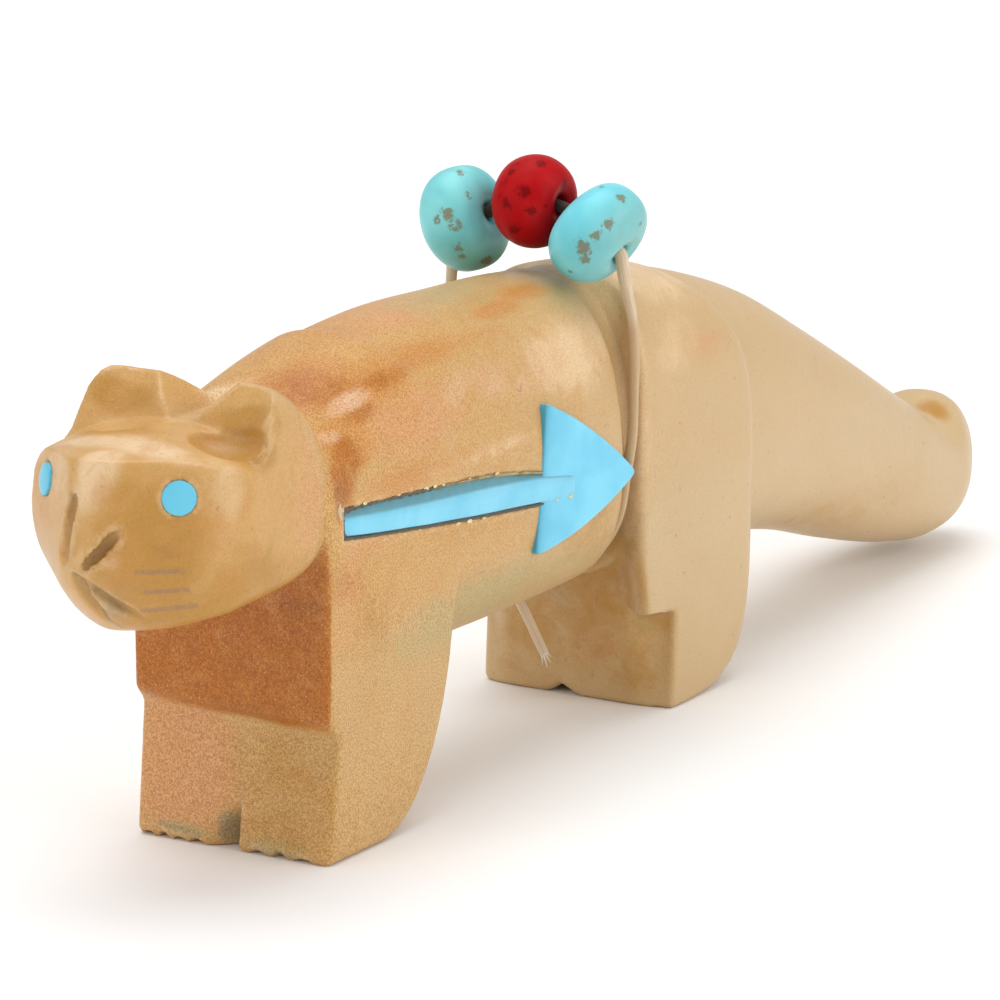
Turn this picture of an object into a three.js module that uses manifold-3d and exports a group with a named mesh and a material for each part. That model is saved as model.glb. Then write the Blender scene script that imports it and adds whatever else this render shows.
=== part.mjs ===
// Small carved stone animal with a long thick tail, turquoise eyes, an inlaid
// turquoise arrow on its left flank and three beads tied over its back.
// Millimetres, +Z up. The head faces -Y and the animal's left side is +X.

import * as THREE from 'three';
import { LoftGeometry } from 'three/addons/geometries/LoftGeometry.js';
import { mergeVertices } from 'three/addons/utils/BufferGeometryUtils.js';
import Module from 'manifold-3d';

const wasm = await Module();
wasm.setup();

// Driving sizes of the stone
const figureLength = 72.8;
const backHeight = 20;
const bodyWidth = 9.6;

// The carving keeps its pose as hundredths of the three sizes above.
// Lengths along the body are counted from the front of the chest.
const along = ( percent ) => figureLength * percent / 100;
const across = ( percent ) => bodyWidth * percent / 100;
const up = ( percent ) => backHeight * percent / 100;
const place = ( x, y, z ) => new THREE.Vector3( across( x ), along( y ), up( z ) );

// Softness of the edges and depth of the finer carving
const blockEdge = 0.45;
const ledgeDepth = 0.9;
const hipStandsProud = 0.12;
const toeNotchWidth = 1.2;
const toeNotchHeight = 2.1;
const toeNotchDepth = 1.3;
const hindNotchHeight = 0.9;
const nostrilWidth = 0.8;
const mouthWidth = 0.7;
const gougeDepth = 0.45;

// Inlays and the glue line round them
const eyeDiameter = 1.45;
const eyeDepth = 1.0;
const inlayGap = 0.1;
const inlayStandsProud = 0.06;
const shaftWidth = 0.85;
const shaftDepth = 0.9;
const arrowheadThickness = 0.45;

// Beads and the sinew that ties them
const turquoiseBeadDiameter = 4.5;
const coralBeadDiameter = 3.95;
const beadThickness = 2.95;
const sinewDiameter = 0.52;
const sinewClearance = 0.14;
const knotDiameter = 1.5;
const freeEndLength = 4.7;

// Fineness of the facets
const trunkSides = 32;
const stepsBetweenStations = 2;
const roundSides = 14;
const sinewSides = 8;
const beadRims = 10;
const beadSides = 24;

// Turns a closed geometry into a solid that can be joined and cut.
function solid( geometry ) {

	const plain = geometry.index ? geometry.toNonIndexed() : geometry.clone();
	plain.deleteAttribute( 'normal' );
	plain.deleteAttribute( 'uv' );
	const merged = mergeVertices( plain, 1e-4 );
	return new wasm.Manifold( new wasm.Mesh( {
		numProp: 3,
		vertProperties: merged.attributes.position.array,
		triVerts: new Uint32Array( merged.index.array ),
	} ) );

}

// Turns a solid back into a geometry with flat-shaded faces.
function geometryOf( body ) {

	const mesh = body.getMesh();
	const geometry = new THREE.BufferGeometry();
	geometry.setAttribute( 'position', new THREE.BufferAttribute( mesh.vertProperties, 3 ) );
	geometry.setIndex( new THREE.BufferAttribute( mesh.triVerts, 1 ) );
	const faceted = geometry.toNonIndexed();
	faceted.computeVertexNormals();
	return faceted;

}

// Turns a side outline, drawn as along and up, into a slab that runs across the body.
function slabAcross( outline, from, to, edge, steps = 1 ) {

	const geometry = new THREE.ExtrudeGeometry( outline, {
		depth: to - from - 2 * edge,
		steps,
		curveSegments: 10,
		bevelEnabled: edge > 0,
		bevelThickness: edge,
		bevelSize: edge,
		bevelOffset: - edge,
		bevelSegments: 3,
	} );
	geometry.translate( 0, 0, from + edge );
	return geometry.applyMatrix4( new THREE.Matrix4().makeBasis(
		new THREE.Vector3( 0, 1, 0 ), new THREE.Vector3( 0, 0, 1 ), new THREE.Vector3( 1, 0, 0 ) ) );

}

// Draws an outline through the places given, with straight sides.
function outlineThrough( points ) {

	return new THREE.Shape( points.map( ( [ y, z ] ) => new THREE.Vector2( y, z ) ) );

}

// A gouge stroke: a lens-shaped cut from one end to the other, its flat way facing out.
function gouge( from, to, width, depth, outwards ) {

	const run = new THREE.Vector3().subVectors( to, from );
	const side = new THREE.Vector3().crossVectors( outwards, run ).normalize();
	const out = new THREE.Vector3().crossVectors( run, side ).normalize();
	const cut = new THREE.OctahedronGeometry( 1, 1 );
	cut.scale( run.length() / 2, width / 2, depth );
	cut.applyMatrix4( new THREE.Matrix4().makeBasis( run.clone().normalize(), side, out ) );
	const middle = new THREE.Vector3().addVectors( from, to ).multiplyScalar( 0.5 );
	return solid( cut.translate( middle.x, middle.y, middle.z ) );

}

// A block that lies wholly on the outer side of a plane, to plane a face with.
function planer( point, outwards ) {

	const reach = figureLength;
	const block = new THREE.BoxGeometry( reach, reach, reach );
	block.translate( 0, 0, reach / 2 );
	const turn = new THREE.Quaternion().setFromUnitVectors(
		new THREE.Vector3( 0, 0, 1 ), outwards.clone().normalize() );
	block.applyMatrix4( new THREE.Matrix4().compose( point, turn, new THREE.Vector3( 1, 1, 1 ) ) );
	return solid( block );

}

// Barrel and tail

// Cross-sections from the neck to the tip of the tail, in hundredths: place along the body,
// height of the widest part, top, underside, half width, and how square the shoulders are.
const stations = [
	[ - 4, 75, 83, 67, 40, 2.2 ],
	[ 0.8, 70, 88.5, 52, 48, 2.4 ],
	[ 7, 63, 96, 31, 49.5, 2.5 ],
	[ 15, 60, 100, 30, 49.4, 2.4 ],
	[ 23, 59, 99.4, 29.5, 49, 2.35 ],
	[ 30, 57, 98, 30, 48, 2.4 ],
	[ 31.9, 56.5, 97.3, 30.8, 46.5, 2.3 ],
	[ 32.6, 56, 96.4, 33, 35.5, 2.1 ],
	[ 33.5, 56, 96.2, 33, 35.5, 2.1 ],
	[ 35, 55, 96.4, 30.5, 42, 2.1 ],
	[ 39.6, 54, 94, 28, 45.5, 2.2 ],
	[ 46.8, 51.5, 88, 26, 45, 2.3 ],
	[ 53.4, 48, 80, 24, 43, 2.3 ],
	[ 60, 42, 68.5, 19, 40, 2.3 ],
	[ 67, 33.5, 55.5, 11.5, 37, 2.3 ],
	[ 74, 24.5, 42, 5.2, 34, 2.3 ],
	[ 78.2, 20.5, 34.8, 3.1, 31, 2.3 ],
	[ 81, 20, 36.8, 4.2, 28, 2.3 ],
	[ 83.2, 20, 33.5, 7.4, 20, 2.2 ],
	[ 84.7, 19.5, 27, 12, 11, 2.1 ],
	[ 85.3, 19, 21.5, 16.5, 4, 2 ],
];

// Two smooth curves carry the stations' values, so that sections between them are blended.
const levels = new THREE.CatmullRomCurve3(
	stations.map( ( s ) => new THREE.Vector3( s[ 0 ], s[ 1 ], s[ 2 ] ) ), false, 'catmullrom', 0.5 );
const widths = new THREE.CatmullRomCurve3(
	stations.map( ( s ) => new THREE.Vector3( s[ 3 ], s[ 4 ], s[ 5 ] ) ), false, 'catmullrom', 0.5 );

// The blended section at a share of the way through the list of stations.
function formAt( share ) {

	const level = levels.getPoint( share );
	const width = widths.getPoint( share );
	return {
		y: along( level.x ),
		mid: up( level.y ),
		top: up( level.z ),
		low: up( width.x ),
		half: across( width.y ),
		squareness: width.z,
	};

}

// Finds the section at a place along the body by halving the interval.
function formAlong( y ) {

	let low = 0;
	let high = 1;
	for ( let i = 0; i < 30; i ++ ) {

		const middle = ( low + high ) / 2;
		if ( formAt( middle ).y < y ) low = middle;
		else high = middle;

	}

	return formAt( ( low + high ) / 2 );

}

// A point on a section's rim. An angle of 0 is the left flank and a quarter turn the back.
function rimPoint( form, angle, outset = 0 ) {

	const power = 2 / form.squareness;
	const c = Math.cos( angle );
	const s = Math.sin( angle );
	const reach = s > 0 ? form.top - form.mid : form.mid - form.low;
	return new THREE.Vector3(
		( form.half + outset ) * Math.sign( c ) * Math.abs( c ) ** power,
		form.y,
		form.mid + ( reach + outset ) * Math.sign( s ) * Math.abs( s ) ** power );

}

function trunk( outset = 0 ) {

	const rings = ( stations.length - 1 ) * stepsBetweenStations;
	const sections = [];
	for ( let i = 0; i <= rings; i ++ ) {

		const form = formAt( i / rings );
		const ring = [];
		for ( let j = 0; j < trunkSides; j ++ ) {

			ring.push( rimPoint( form, - j / trunkSides * Math.PI * 2, outset ) );

		}

		sections.push( ring );

	}

	return solid( new LoftGeometry( sections, { capStart: true, capEnd: true } ) );

}

// Legs

// The rounded roof that the leg blocks are cut to: the back's line with squarer shoulders.
function roof() {

	const squareness = 2.7;
	const from = - 2;
	const to = 50;
	const rings = 14;
	const sections = [];
	for ( let i = 0; i <= rings; i ++ ) {

		const form = formAlong( along( from + ( to - from ) * i / rings ) );
		form.half = across( 50 ) + hipStandsProud;
		form.top += hipStandsProud;
		form.squareness = squareness;
		const ring = [];
		for ( let j = 0; j <= trunkSides / 2; j ++ ) {

			ring.push( rimPoint( form, j / trunkSides * Math.PI * 2 ) );

		}

		ring.push( new THREE.Vector3( - form.half, form.y, - up( 5 ) ) );
		ring.push( new THREE.Vector3( form.half, form.y, - up( 5 ) ) );
		sections.push( ring.reverse() );

	}

	return solid( new LoftGeometry( sections, { capStart: true, capEnd: true } ) );

}

// Both front legs and the chest are one block, curved behind, with a ledge above the paws.
function frontBlock() {

	const outline = new THREE.Shape();
	outline.moveTo( 0, 0 );
	outline.lineTo( 0, up( 11 ) );
	outline.lineTo( ledgeDepth, up( 25.2 ) );
	outline.lineTo( 0, up( 28.8 ) );
	outline.lineTo( 0, up( 108 ) );
	outline.lineTo( along( 9 ), up( 108 ) );
	outline.lineTo( along( 13.1 ), up( 70 ) );
	outline.lineTo( along( 13.1 ), up( 52 ) );
	outline.absellipse( along( 5.4 ), up( 52 ), along( 7.7 ), up( 52 ), 0, - Math.PI / 2, true );
	const half = across( 50 );
	const block = slabAcross( outline, - half, half, blockEdge );
	return solid( taperToFeet( block, up( 45 ), 0.98 ) );

}

// Narrows what lies below a height towards the floor, to the share given there.
function taperToFeet( geometry, height, share ) {

	const places = geometry.attributes.position;
	for ( let i = 0; i < places.count; i ++ ) {

		const below = Math.max( 0, 1 - places.getZ( i ) / height );
		places.setX( i, places.getX( i ) * ( 1 - ( 1 - share ) * below ) );

	}

	return geometry;

}

// Both hind legs are one block too. The thigh overhangs the paws in front.
function hindBlock() {

	const outline = new THREE.Shape();
	outline.moveTo( along( 37 ), 0 );
	outline.lineTo( along( 37.9 ), up( 21 ) );
	outline.lineTo( along( 34.4 ), up( 21 ) );
	outline.lineTo( along( 33.7 ), up( 85 ) );
	outline.lineTo( along( 34 ), up( 102 ) );
	outline.lineTo( along( 38.6 ), up( 102 ) );
	outline.bezierCurveTo( along( 44.2 ), up( 90 ), along( 46.7 ), up( 76 ), along( 46.8 ), up( 58 ) );
	outline.lineTo( along( 46.8 ), up( 32 ) );
	outline.bezierCurveTo( along( 46.8 ), up( 8 ), along( 45 ), 0, along( 40 ), 0 );
	const half = across( 51.5 );
	const block = slabAcross( outline, - half, half, blockEdge );
	return solid( taperToFeet( block, up( 45 ), 0.99 ) );

}

// Vertical gouge between the two feet of a pair. One wall is upright and the other slants.
function footNotch( frontY, width, height, depth ) {

	const outline = new THREE.Shape();
	outline.moveTo( - width * 0.75, - height );
	outline.lineTo( width * 0.25, - height );
	outline.lineTo( width * 0.25, height );
	outline.lineTo( - width * 0.1, height );
	outline.lineTo( - width * 0.65, 0 );
	const cut = new THREE.ExtrudeGeometry( outline, { depth: 2 * depth, bevelEnabled: false } );
	cut.rotateX( Math.PI / 2 );
	return solid( cut.translate( 0, frontY + depth, 0 ) );

}

// Head

const noseTop = place( 0, - 14, 88 );
const faceSlope = THREE.MathUtils.degToRad( 38 );
const eyeLine = 82.3;
const eyeAcross = 31.8;

// Outward direction of the face's plane, on the side given as 1 or -1.
const faceNormal = ( side ) =>
	new THREE.Vector3( side * Math.sin( faceSlope ), - Math.cos( faceSlope ), 0 );

// Middle of an eye, on the face's plane.
function eyeCentre( side ) {

	const x = across( eyeAcross );
	return new THREE.Vector3( side * x, noseTop.y + x * Math.tan( faceSlope ), up( eyeLine ) );

}

// A drum with soft rims lies across the neck: flat cheeks, round over the top and behind.
function headBlank() {

	const half = across( 49 );
	const squareness = 4;
	const rims = 10;
	const profile = [];
	for ( let i = 0; i <= rims; i ++ ) {

		const angle = ( i / rims - 0.5 ) * Math.PI;
		const s = Math.sin( angle );
		const c = Math.max( 0, Math.cos( angle ) );
		profile.push( new THREE.Vector2(
			i === 0 || i === rims ? 0 : c ** ( 2 / squareness ),
			half * Math.sign( s ) * Math.abs( s ) ** ( 2 / squareness ) ) );

	}

	const drum = new THREE.LatheGeometry( profile, 2 * roundSides );
	drum.rotateZ( - Math.PI / 2 );
	drum.scale( 1, along( 7.7 ), up( 24.5 ) );
	return solid( drum.translate( 0, along( - 6.6 ), up( 77.3 ) ) );

}

// Takes away the stone above the forehead, in front of the ears. It droops to both sides.
function foreheadCut() {

	const outline = outlineThrough( [
		[ along( - 20 ), up( 110 ) ],
		[ along( - 20 ), up( 84 ) ],
		[ along( - 13.4 ), up( 90.5 ) ],
		[ along( - 6.6 ), up( 91.5 ) ],
		[ along( - 5 ), up( 93 ) ],
		[ along( - 4 ), up( 96.5 ) ],
		[ along( - 3.3 ), up( 110 ) ],
	] );
	const reach = across( 60 );
	const cut = slabAcross( outline, - reach, reach, 0, 8 );
	const places = cut.attributes.position;
	const droop = up( 6.5 );
	const setBack = along( 1 );
	for ( let i = 0; i < places.count; i ++ ) {

		const share = Math.abs( places.getX( i ) ) / across( 50 );
		places.setZ( i, places.getZ( i ) - droop * share ** 2 );
		places.setY( i, places.getY( i ) - setBack * share );

	}

	return solid( cut );

}

// The valley between the ears runs back to the neck.
function earValley() {

	const outline = new THREE.Shape();
	outline.moveTo( - across( 30 ), up( 108 ) );
	outline.quadraticCurveTo( - across( 12 ), up( 91 ), 0, up( 90.5 ) );
	outline.quadraticCurveTo( across( 12 ), up( 91 ), across( 30 ), up( 108 ) );
	const cut = new THREE.ExtrudeGeometry( outline, {
		depth: along( 14 ),
		bevelEnabled: false,
		curveSegments: 6,
	} );
	cut.rotateX( Math.PI / 2 );
	return solid( cut.translate( 0, along( 2 ), 0 ) );

}

function head() {

	let body = headBlank();
	for ( const side of [ - 1, 1 ] ) {

		body = body.subtract( planer( noseTop, faceNormal( side ) ) );
		body = body.subtract( planer( place( side * 48, - 5.5, 62.5 ), new THREE.Vector3( side * 0.35, 0.28, - 1 ) ) );
		body = body.subtract( planer( place( side * 30, - 11, 63 ), new THREE.Vector3( side * 0.7, - 0.9, - 0.8 ) ) );

	}

	body = body.subtract( planer( place( 0, - 14.1, 67 ), new THREE.Vector3( 0, - 1, - 0.6 ) ) );
	body = body.subtract( planer( place( 0, - 11, 54 ), new THREE.Vector3( 0, 0.28, - 1 ) ) );
	return body.subtract( foreheadCut() ).subtract( earValley() );

}

// Two slots make the nostrils and two more, spreading downwards, make the mouth.
function faceGouges() {

	const down = new THREE.Vector3( 0, - 1, - 0.5 );
	return [
		gouge( place( 1, - 14.2, 68 ), place( 10, - 12.6, 80 ), nostrilWidth, gougeDepth, faceNormal( 1 ) ),
		gouge( place( - 5, - 13.9, 69 ), place( - 4, - 13.9, 86 ), nostrilWidth, gougeDepth, faceNormal( - 1 ) ),
		gouge( place( 2, - 13.6, 66 ), place( 20, - 9.8, 55 ), mouthWidth, gougeDepth, down ),
		gouge( place( - 2, - 13.6, 66 ), place( - 14, - 10.6, 55 ), mouthWidth, gougeDepth, down ),
	];

}

// Inlays

// A round plug of turquoise square to the face. The pocket is the same plug with the glue gap.
function eyePlug( side, gap, standsProud ) {

	const length = eyeDepth + gap + standsProud;
	const plug = new THREE.CylinderGeometry(
		eyeDiameter / 2 + gap, eyeDiameter / 2 + gap, length, roundSides );
	plug.translate( 0, standsProud - length / 2, 0 );
	const turn = new THREE.Quaternion().setFromUnitVectors( new THREE.Vector3( 0, 1, 0 ), faceNormal( side ) );
	plug.applyMatrix4( new THREE.Matrix4().compose( eyeCentre( side ), turn, new THREE.Vector3( 1, 1, 1 ) ) );
	return solid( plug );

}

// Ends of the arrow's shaft and the corners of its head, on the left flank
const shaftRear = new THREE.Vector2( along( 1.6 ), up( 68.2 ) );
const shaftTip = new THREE.Vector2( along( 25.7 ), up( 58.4 ) );
const shaftBow = up( 1.2 );
const headTop = new THREE.Vector2( along( 22.5 ), up( 78 ) );
const headTip = new THREE.Vector2( along( 32.7 ), up( 56 ) );
const headLow = new THREE.Vector2( along( 21.4 ), up( 46.5 ) );

// The shaft's outline: a band of even width along a slightly bowed line.
function shaftOutline( grown ) {

	const middle = new THREE.Vector2().addVectors( shaftRear, shaftTip ).multiplyScalar( 0.5 );
	middle.y -= shaftBow;
	const line = new THREE.QuadraticBezierCurve( shaftRear, middle, shaftTip ).getPoints( 10 );
	const half = shaftWidth / 2 + grown;
	const run = new THREE.Vector2().subVectors( shaftTip, shaftRear ).normalize();
	const offset = ( point, side, further ) => new THREE.Vector2(
		point.x - run.y * side * half + run.x * further, point.y + run.x * side * half + run.y * further );
	const further = ( i ) => ( i === 0 ? - grown : i === line.length - 1 ? grown : 0 );
	const lower = line.map( ( point, i ) => offset( point, - 1, further( i ) ) );
	const upper = line.map( ( point, i ) => offset( point, 1, further( i ) ) ).reverse();
	return new THREE.Shape( [ ...lower, ...upper ] );

}

// The arrowhead's outline, grown from its middle by the gap on every side.
function headOutline( grown ) {

	const corners = [ headTop, headLow, headTip ];
	const inward = ( corner ) => {

		const i = corners.indexOf( corner );
		const before = corners[ ( i + 2 ) % 3 ];
		const after = corners[ ( i + 1 ) % 3 ];
		const a = new THREE.Vector2().subVectors( before, corner ).normalize();
		const b = new THREE.Vector2().subVectors( after, corner ).normalize();
		const bisector = a.clone().add( b ).normalize();
		const halfAngle = Math.acos( THREE.MathUtils.clamp( a.dot( b ), - 1, 1 ) ) / 2;
		return bisector.multiplyScalar( - grown / Math.sin( halfAngle ) );

	};

	return new THREE.Shape( corners.map( ( corner ) => corner.clone().add( inward( corner ) ) ) );

}

// Flat outer face of the arrowhead and the sides of the channel below it
const flankFace = across( 49 ) + inlayStandsProud;
const headInner = flankFace - arrowheadThickness;

function shaftPlug( grown ) {

	const inner = flankFace - shaftDepth - grown;
	return solid( slabAcross( shaftOutline( grown ), inner, flankFace + ( grown ? blockEdge : 0 ), 0 ) );

}

function headPlug( grown ) {

	return solid( slabAcross( headOutline( grown ), headInner - grown, flankFace + ( grown ? 2 : 0 ), 0 ) );

}

// Beads and tie

// The tie lies in the deep groove in front of the hips, and its beads ride on the back.
const tieY = along( 33.05 );
const beadsY = along( 31.9 );
const knotAngle = - 121;
const holeRadius = sinewDiameter / 2 + sinewClearance;
const sinewOutset = sinewDiameter / 2 + sinewClearance;
const coralLift = 0.95;
const coralCentre = new THREE.Vector3( 0, beadsY, formAlong( beadsY ).top + coralBeadDiameter / 2 + coralLift );

// A squat round bead with a hole along its own Y axis, before it is turned into place.
function beadShape( diameter ) {

	const half = beadThickness / 2;
	const bulge = diameter / 2 - holeRadius;
	const points = [];
	for ( let i = 0; i <= beadRims; i ++ ) {

		const angle = ( i / beadRims - 0.5 ) * Math.PI;
		const c = Math.max( 0, Math.cos( angle ) );
		const s = Math.sin( angle );
		points.push( new THREE.Vector2(
			holeRadius + bulge * c ** 0.8,
			half * Math.sign( s ) * Math.abs( s ) ** 0.9 ) );

	}

	points.push( points[ 0 ].clone() );
	return new THREE.LatheGeometry( points, beadSides );

}

// Where each bead sits beside the coral one, in shares of a bead's thickness, and how far
// its hole tips down, in degrees.
const beads = [
	{ name: 'bead_turquoise_left', diameter: turquoiseBeadDiameter, aside: 1.06, drop: 0.34, tip: 36 },
	{ name: 'bead_coral', diameter: coralBeadDiameter, aside: 0, drop: 0, tip: 0 },
	{ name: 'bead_turquoise_right', diameter: turquoiseBeadDiameter, aside: - 1.16, drop: 0.36, tip: - 18 },
];

for ( const bead of beads ) {

	const tip = THREE.MathUtils.degToRad( bead.tip );
	bead.centre = new THREE.Vector3( bead.aside * beadThickness, 0, - bead.drop * beadThickness ).add( coralCentre );
	bead.axis = new THREE.Vector3( Math.cos( tip ), 0, - Math.sin( tip ) );

}

// The sinew's way: from the knot under the belly up the left side, through the beads, and back.
function sinewRoute() {

	const form = formAlong( tieY );
	form.y = tieY;
	const rim = ( degrees ) => rimPoint( form, THREE.MathUtils.degToRad( degrees ), sinewOutset );
	const [ first, second, third ] = beads;
	const through = ( bead, way ) => bead.centre.clone().addScaledVector( bead.axis, way * beadThickness / 2 );
	const turns = [ 0, 1, 2, 3, 4, 5, 6, 7, 8 ];
	const left = turns.map( ( i ) => rim( knotAngle + 10 - knotAngle * i / 8 ) );
	const right = turns.map( ( i ) => rim( 170 + ( 180 + knotAngle ) * i / 8 ) );
	const shoulder = ( side ) => new THREE.Vector3( side * across( 46.5 ), ( tieY + beadsY ) / 2, up( 88 ) );
	return [
		...left,
		shoulder( 1 ),
		through( first, 1.1 ), through( first, 0.6 ), through( first, - 0.6 ),
		through( second, 0.6 ), through( second, - 0.6 ),
		through( third, 0.6 ), through( third, - 0.6 ), through( third, - 1.1 ),
		shoulder( - 1 ),
		...right,
	];

}

// A round cord along a smooth curve through the points.
function cord( points, steps ) {

	const section = new THREE.Shape();
	section.absarc( 0, 0, sinewDiameter / 2, 0, Math.PI * 2 );
	return solid( new THREE.ExtrudeGeometry( section, {
		steps,
		curveSegments: sinewSides / 2,
		bevelEnabled: false,
		extrudePath: new THREE.CatmullRomCurve3( points, false, 'centripetal' ),
	} ) );

}

// The knot under the belly takes both ends of the loop and the free end.
function sinewTie() {

	const form = formAlong( tieY );
	const centre = rimPoint( form, THREE.MathUtils.degToRad( knotAngle ), knotDiameter / 2 + sinewClearance );
	const knot = new THREE.SphereGeometry( knotDiameter / 2, 12, 8 );
	knot.scale( 1.1, 0.8, 1 );
	knot.translate( centre.x, centre.y, centre.z );
	const end = centre.clone().add( new THREE.Vector3( 2.2, - 0.2, - 3.1 ).setLength( freeEndLength ) );
	const bend = new THREE.Vector3().lerpVectors( centre, end, 0.5 );
	bend.z += sinewDiameter / 2;
	return cord( [ centre, ...sinewRoute(), centre ], 70 )
		.add( solid( knot ) )
		.add( cord( [ centre, bend, end ], 6 ) );

}

// Assembly

const stoneColour = 0xd0ab78;
const turquoiseInlay = 0x5fc4dd;
const turquoiseBead = 0x5cc0c8;
const coralRed = 0xb01620;
const sinewCream = 0xe6d9bf;

function stoneFigure() {

	const legs = roof().intersect( frontBlock().add( hindBlock() ) );
	let stone = trunk().add( legs ).add( head() );
	for ( const cut of faceGouges() ) stone = stone.subtract( cut );
	for ( const side of [ - 1, 1 ] ) stone = stone.subtract( eyePlug( side, inlayGap, blockEdge ) );
	return stone
		.subtract( footNotch( 0, toeNotchWidth, toeNotchHeight, toeNotchDepth ) )
		.subtract( footNotch( along( 37 ), toeNotchWidth, hindNotchHeight, toeNotchDepth ) )
		.subtract( shaftPlug( inlayGap ) )
		.subtract( headPlug( inlayGap ) );

}

function part( name, body, colour, roughness ) {

	const mesh = new THREE.Mesh(
		geometryOf( body ),
		new THREE.MeshStandardMaterial( { color: colour, roughness, metalness: 0 } ) );
	mesh.name = name;
	return mesh;

}

const figure = new THREE.Group();
figure.add( part( 'stone_figure', stoneFigure(), stoneColour, 0.5 ) );
figure.add( part( 'eye_left', eyePlug( 1, 0, inlayStandsProud ), turquoiseInlay, 0.3 ) );
figure.add( part( 'eye_right', eyePlug( - 1, 0, inlayStandsProud ), turquoiseInlay, 0.3 ) );
figure.add( part( 'arrow_shaft', shaftPlug( 0 ), turquoiseInlay, 0.3 ) );
figure.add( part( 'arrow_head', headPlug( 0 ).subtract( shaftPlug( inlayGap ) ), turquoiseInlay, 0.3 ) );
figure.add( part( 'sinew_tie', sinewTie(), sinewCream, 0.6 ) );
for ( const { name, diameter, centre, axis } of beads ) {

	const colour = name === 'bead_coral' ? coralRed : turquoiseBead;
	const bead = part( name, solid( beadShape( diameter ) ), colour, 0.35 );
	bead.position.copy( centre );
	bead.quaternion.setFromUnitVectors( new THREE.Vector3( 0, 1, 0 ), axis );
	figure.add( bead );

}

// The origin is under the middle of the whole figure, on the surface that it stands on.
const box = new THREE.Box3().setFromObject( figure, true );
const middle = box.getCenter( new THREE.Vector3() );
figure.position.set( - middle.x, - middle.y, - box.min.z );

export default figure;
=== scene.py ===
"""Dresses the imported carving: a small stone animal with turquoise inlays and a tie of beads.

The stone is one surface. It is written as a field, a function of place that is below zero inside
the stone and about the distance to its surface elsewhere, and the surface is drawn where the
field is zero. Sizes are in millimetres in the carving's own frame: +X is the animal's left,
the head faces -Y, the chest stands on y = 0 and the feet on z = 0. Spots are the places that a
field is read at: three arrays that hold how far across, along and up they are.
"""

import logging
import math
from dataclasses import dataclass, field
from enum import Enum
from typing import Callable, Iterable, Sequence

import bpy
import numpy as np
from mathutils import Matrix, Vector


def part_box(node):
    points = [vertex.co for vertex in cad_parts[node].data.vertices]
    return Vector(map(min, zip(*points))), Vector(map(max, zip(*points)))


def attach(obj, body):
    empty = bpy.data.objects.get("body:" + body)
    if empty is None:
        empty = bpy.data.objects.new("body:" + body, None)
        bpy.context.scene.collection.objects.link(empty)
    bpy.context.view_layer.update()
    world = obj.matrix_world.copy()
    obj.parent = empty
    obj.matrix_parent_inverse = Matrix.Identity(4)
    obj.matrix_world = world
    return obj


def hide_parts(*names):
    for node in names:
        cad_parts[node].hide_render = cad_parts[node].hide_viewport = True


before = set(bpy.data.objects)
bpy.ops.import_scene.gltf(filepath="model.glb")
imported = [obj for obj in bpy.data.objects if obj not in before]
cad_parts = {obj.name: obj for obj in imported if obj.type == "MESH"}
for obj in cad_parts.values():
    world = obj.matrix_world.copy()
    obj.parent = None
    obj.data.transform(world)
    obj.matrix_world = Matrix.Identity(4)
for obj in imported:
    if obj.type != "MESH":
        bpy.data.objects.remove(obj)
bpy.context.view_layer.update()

log = logging.getLogger("fetish")

Array = np.ndarray
Place = tuple[float, float, float]
Colour = tuple[float, float, float]
Socket = bpy.types.NodeSocket
Spots = Sequence[Array]
Field = Callable[[Spots], Array]

MM = 0.001
BODY = "root"
TAIL_END = 62.1
FIGURE_LENGTH = 72.8
BODY_WIDTH = 9.6
BACK_HEIGHT = 20.0

# How far a drawn surface's corner may slide, in lattice steps, and its share of evening out
SLIDE = 0.7
EVEN = 0.35


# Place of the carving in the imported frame

def carving_origin() -> Array:
    """Finds where the carving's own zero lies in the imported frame, in millimetres.

    Returns:
        The shift from the carving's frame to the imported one.
    """
    low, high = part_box("stone_figure")
    return np.array([(low.x + high.x) / 2 / MM, high.y / MM - TAIL_END, low.z / MM])


ORIGIN = carving_origin()


def to_frame(points: Array) -> Array:
    """Moves points from the carving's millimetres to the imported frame's metres."""
    return (np.asarray(points, dtype=float) + ORIGIN) * MM


# Joining and cutting fields

def meet(a: Array, b: Array, edge: Array | float) -> Array:
    """Keeps what lies inside both fields, with the edge between them rounded.

    Inside the corner the larger field holds. Within `edge` of both surfaces the distance is
    measured to a quarter circle of that radius.

    Args:
        a: First field.
        b: Second field.
        edge: Radius of the rounded edge.

    Returns:
        The joint field.
    """
    corner = np.hypot(np.maximum(a + edge, 0), np.maximum(b + edge, 0))
    return np.minimum(-edge, np.maximum(a, b)) + corner


def join(a: Array, b: Array, fillet: float) -> Array:
    """Keeps what lies inside either field, with a hollow of radius `fillet` where they cross."""
    return -meet(-a, -b, fillet)


def cut(body: Array, tool: Array, edge: float) -> Array:
    """Takes the tool's inside away from the body and softens the rim by `edge`."""
    return meet(body, -tool, edge)


def plane(at: Spots, point: Place, outward: Place) -> Array:
    """Distance above a plane: the way from a point of it, summed along its outward direction.

    Args:
        at: Places across, along and up.
        point: A point of the plane.
        outward: Direction away from the stone.

    Returns:
        The distance, below zero inside.
    """
    x, y, z = at
    size = math.sqrt(sum(part * part for part in outward))
    across, along, up = (part / size for part in outward)
    return (x - point[0]) * across + (y - point[1]) * along + (z - point[2]) * up


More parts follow.
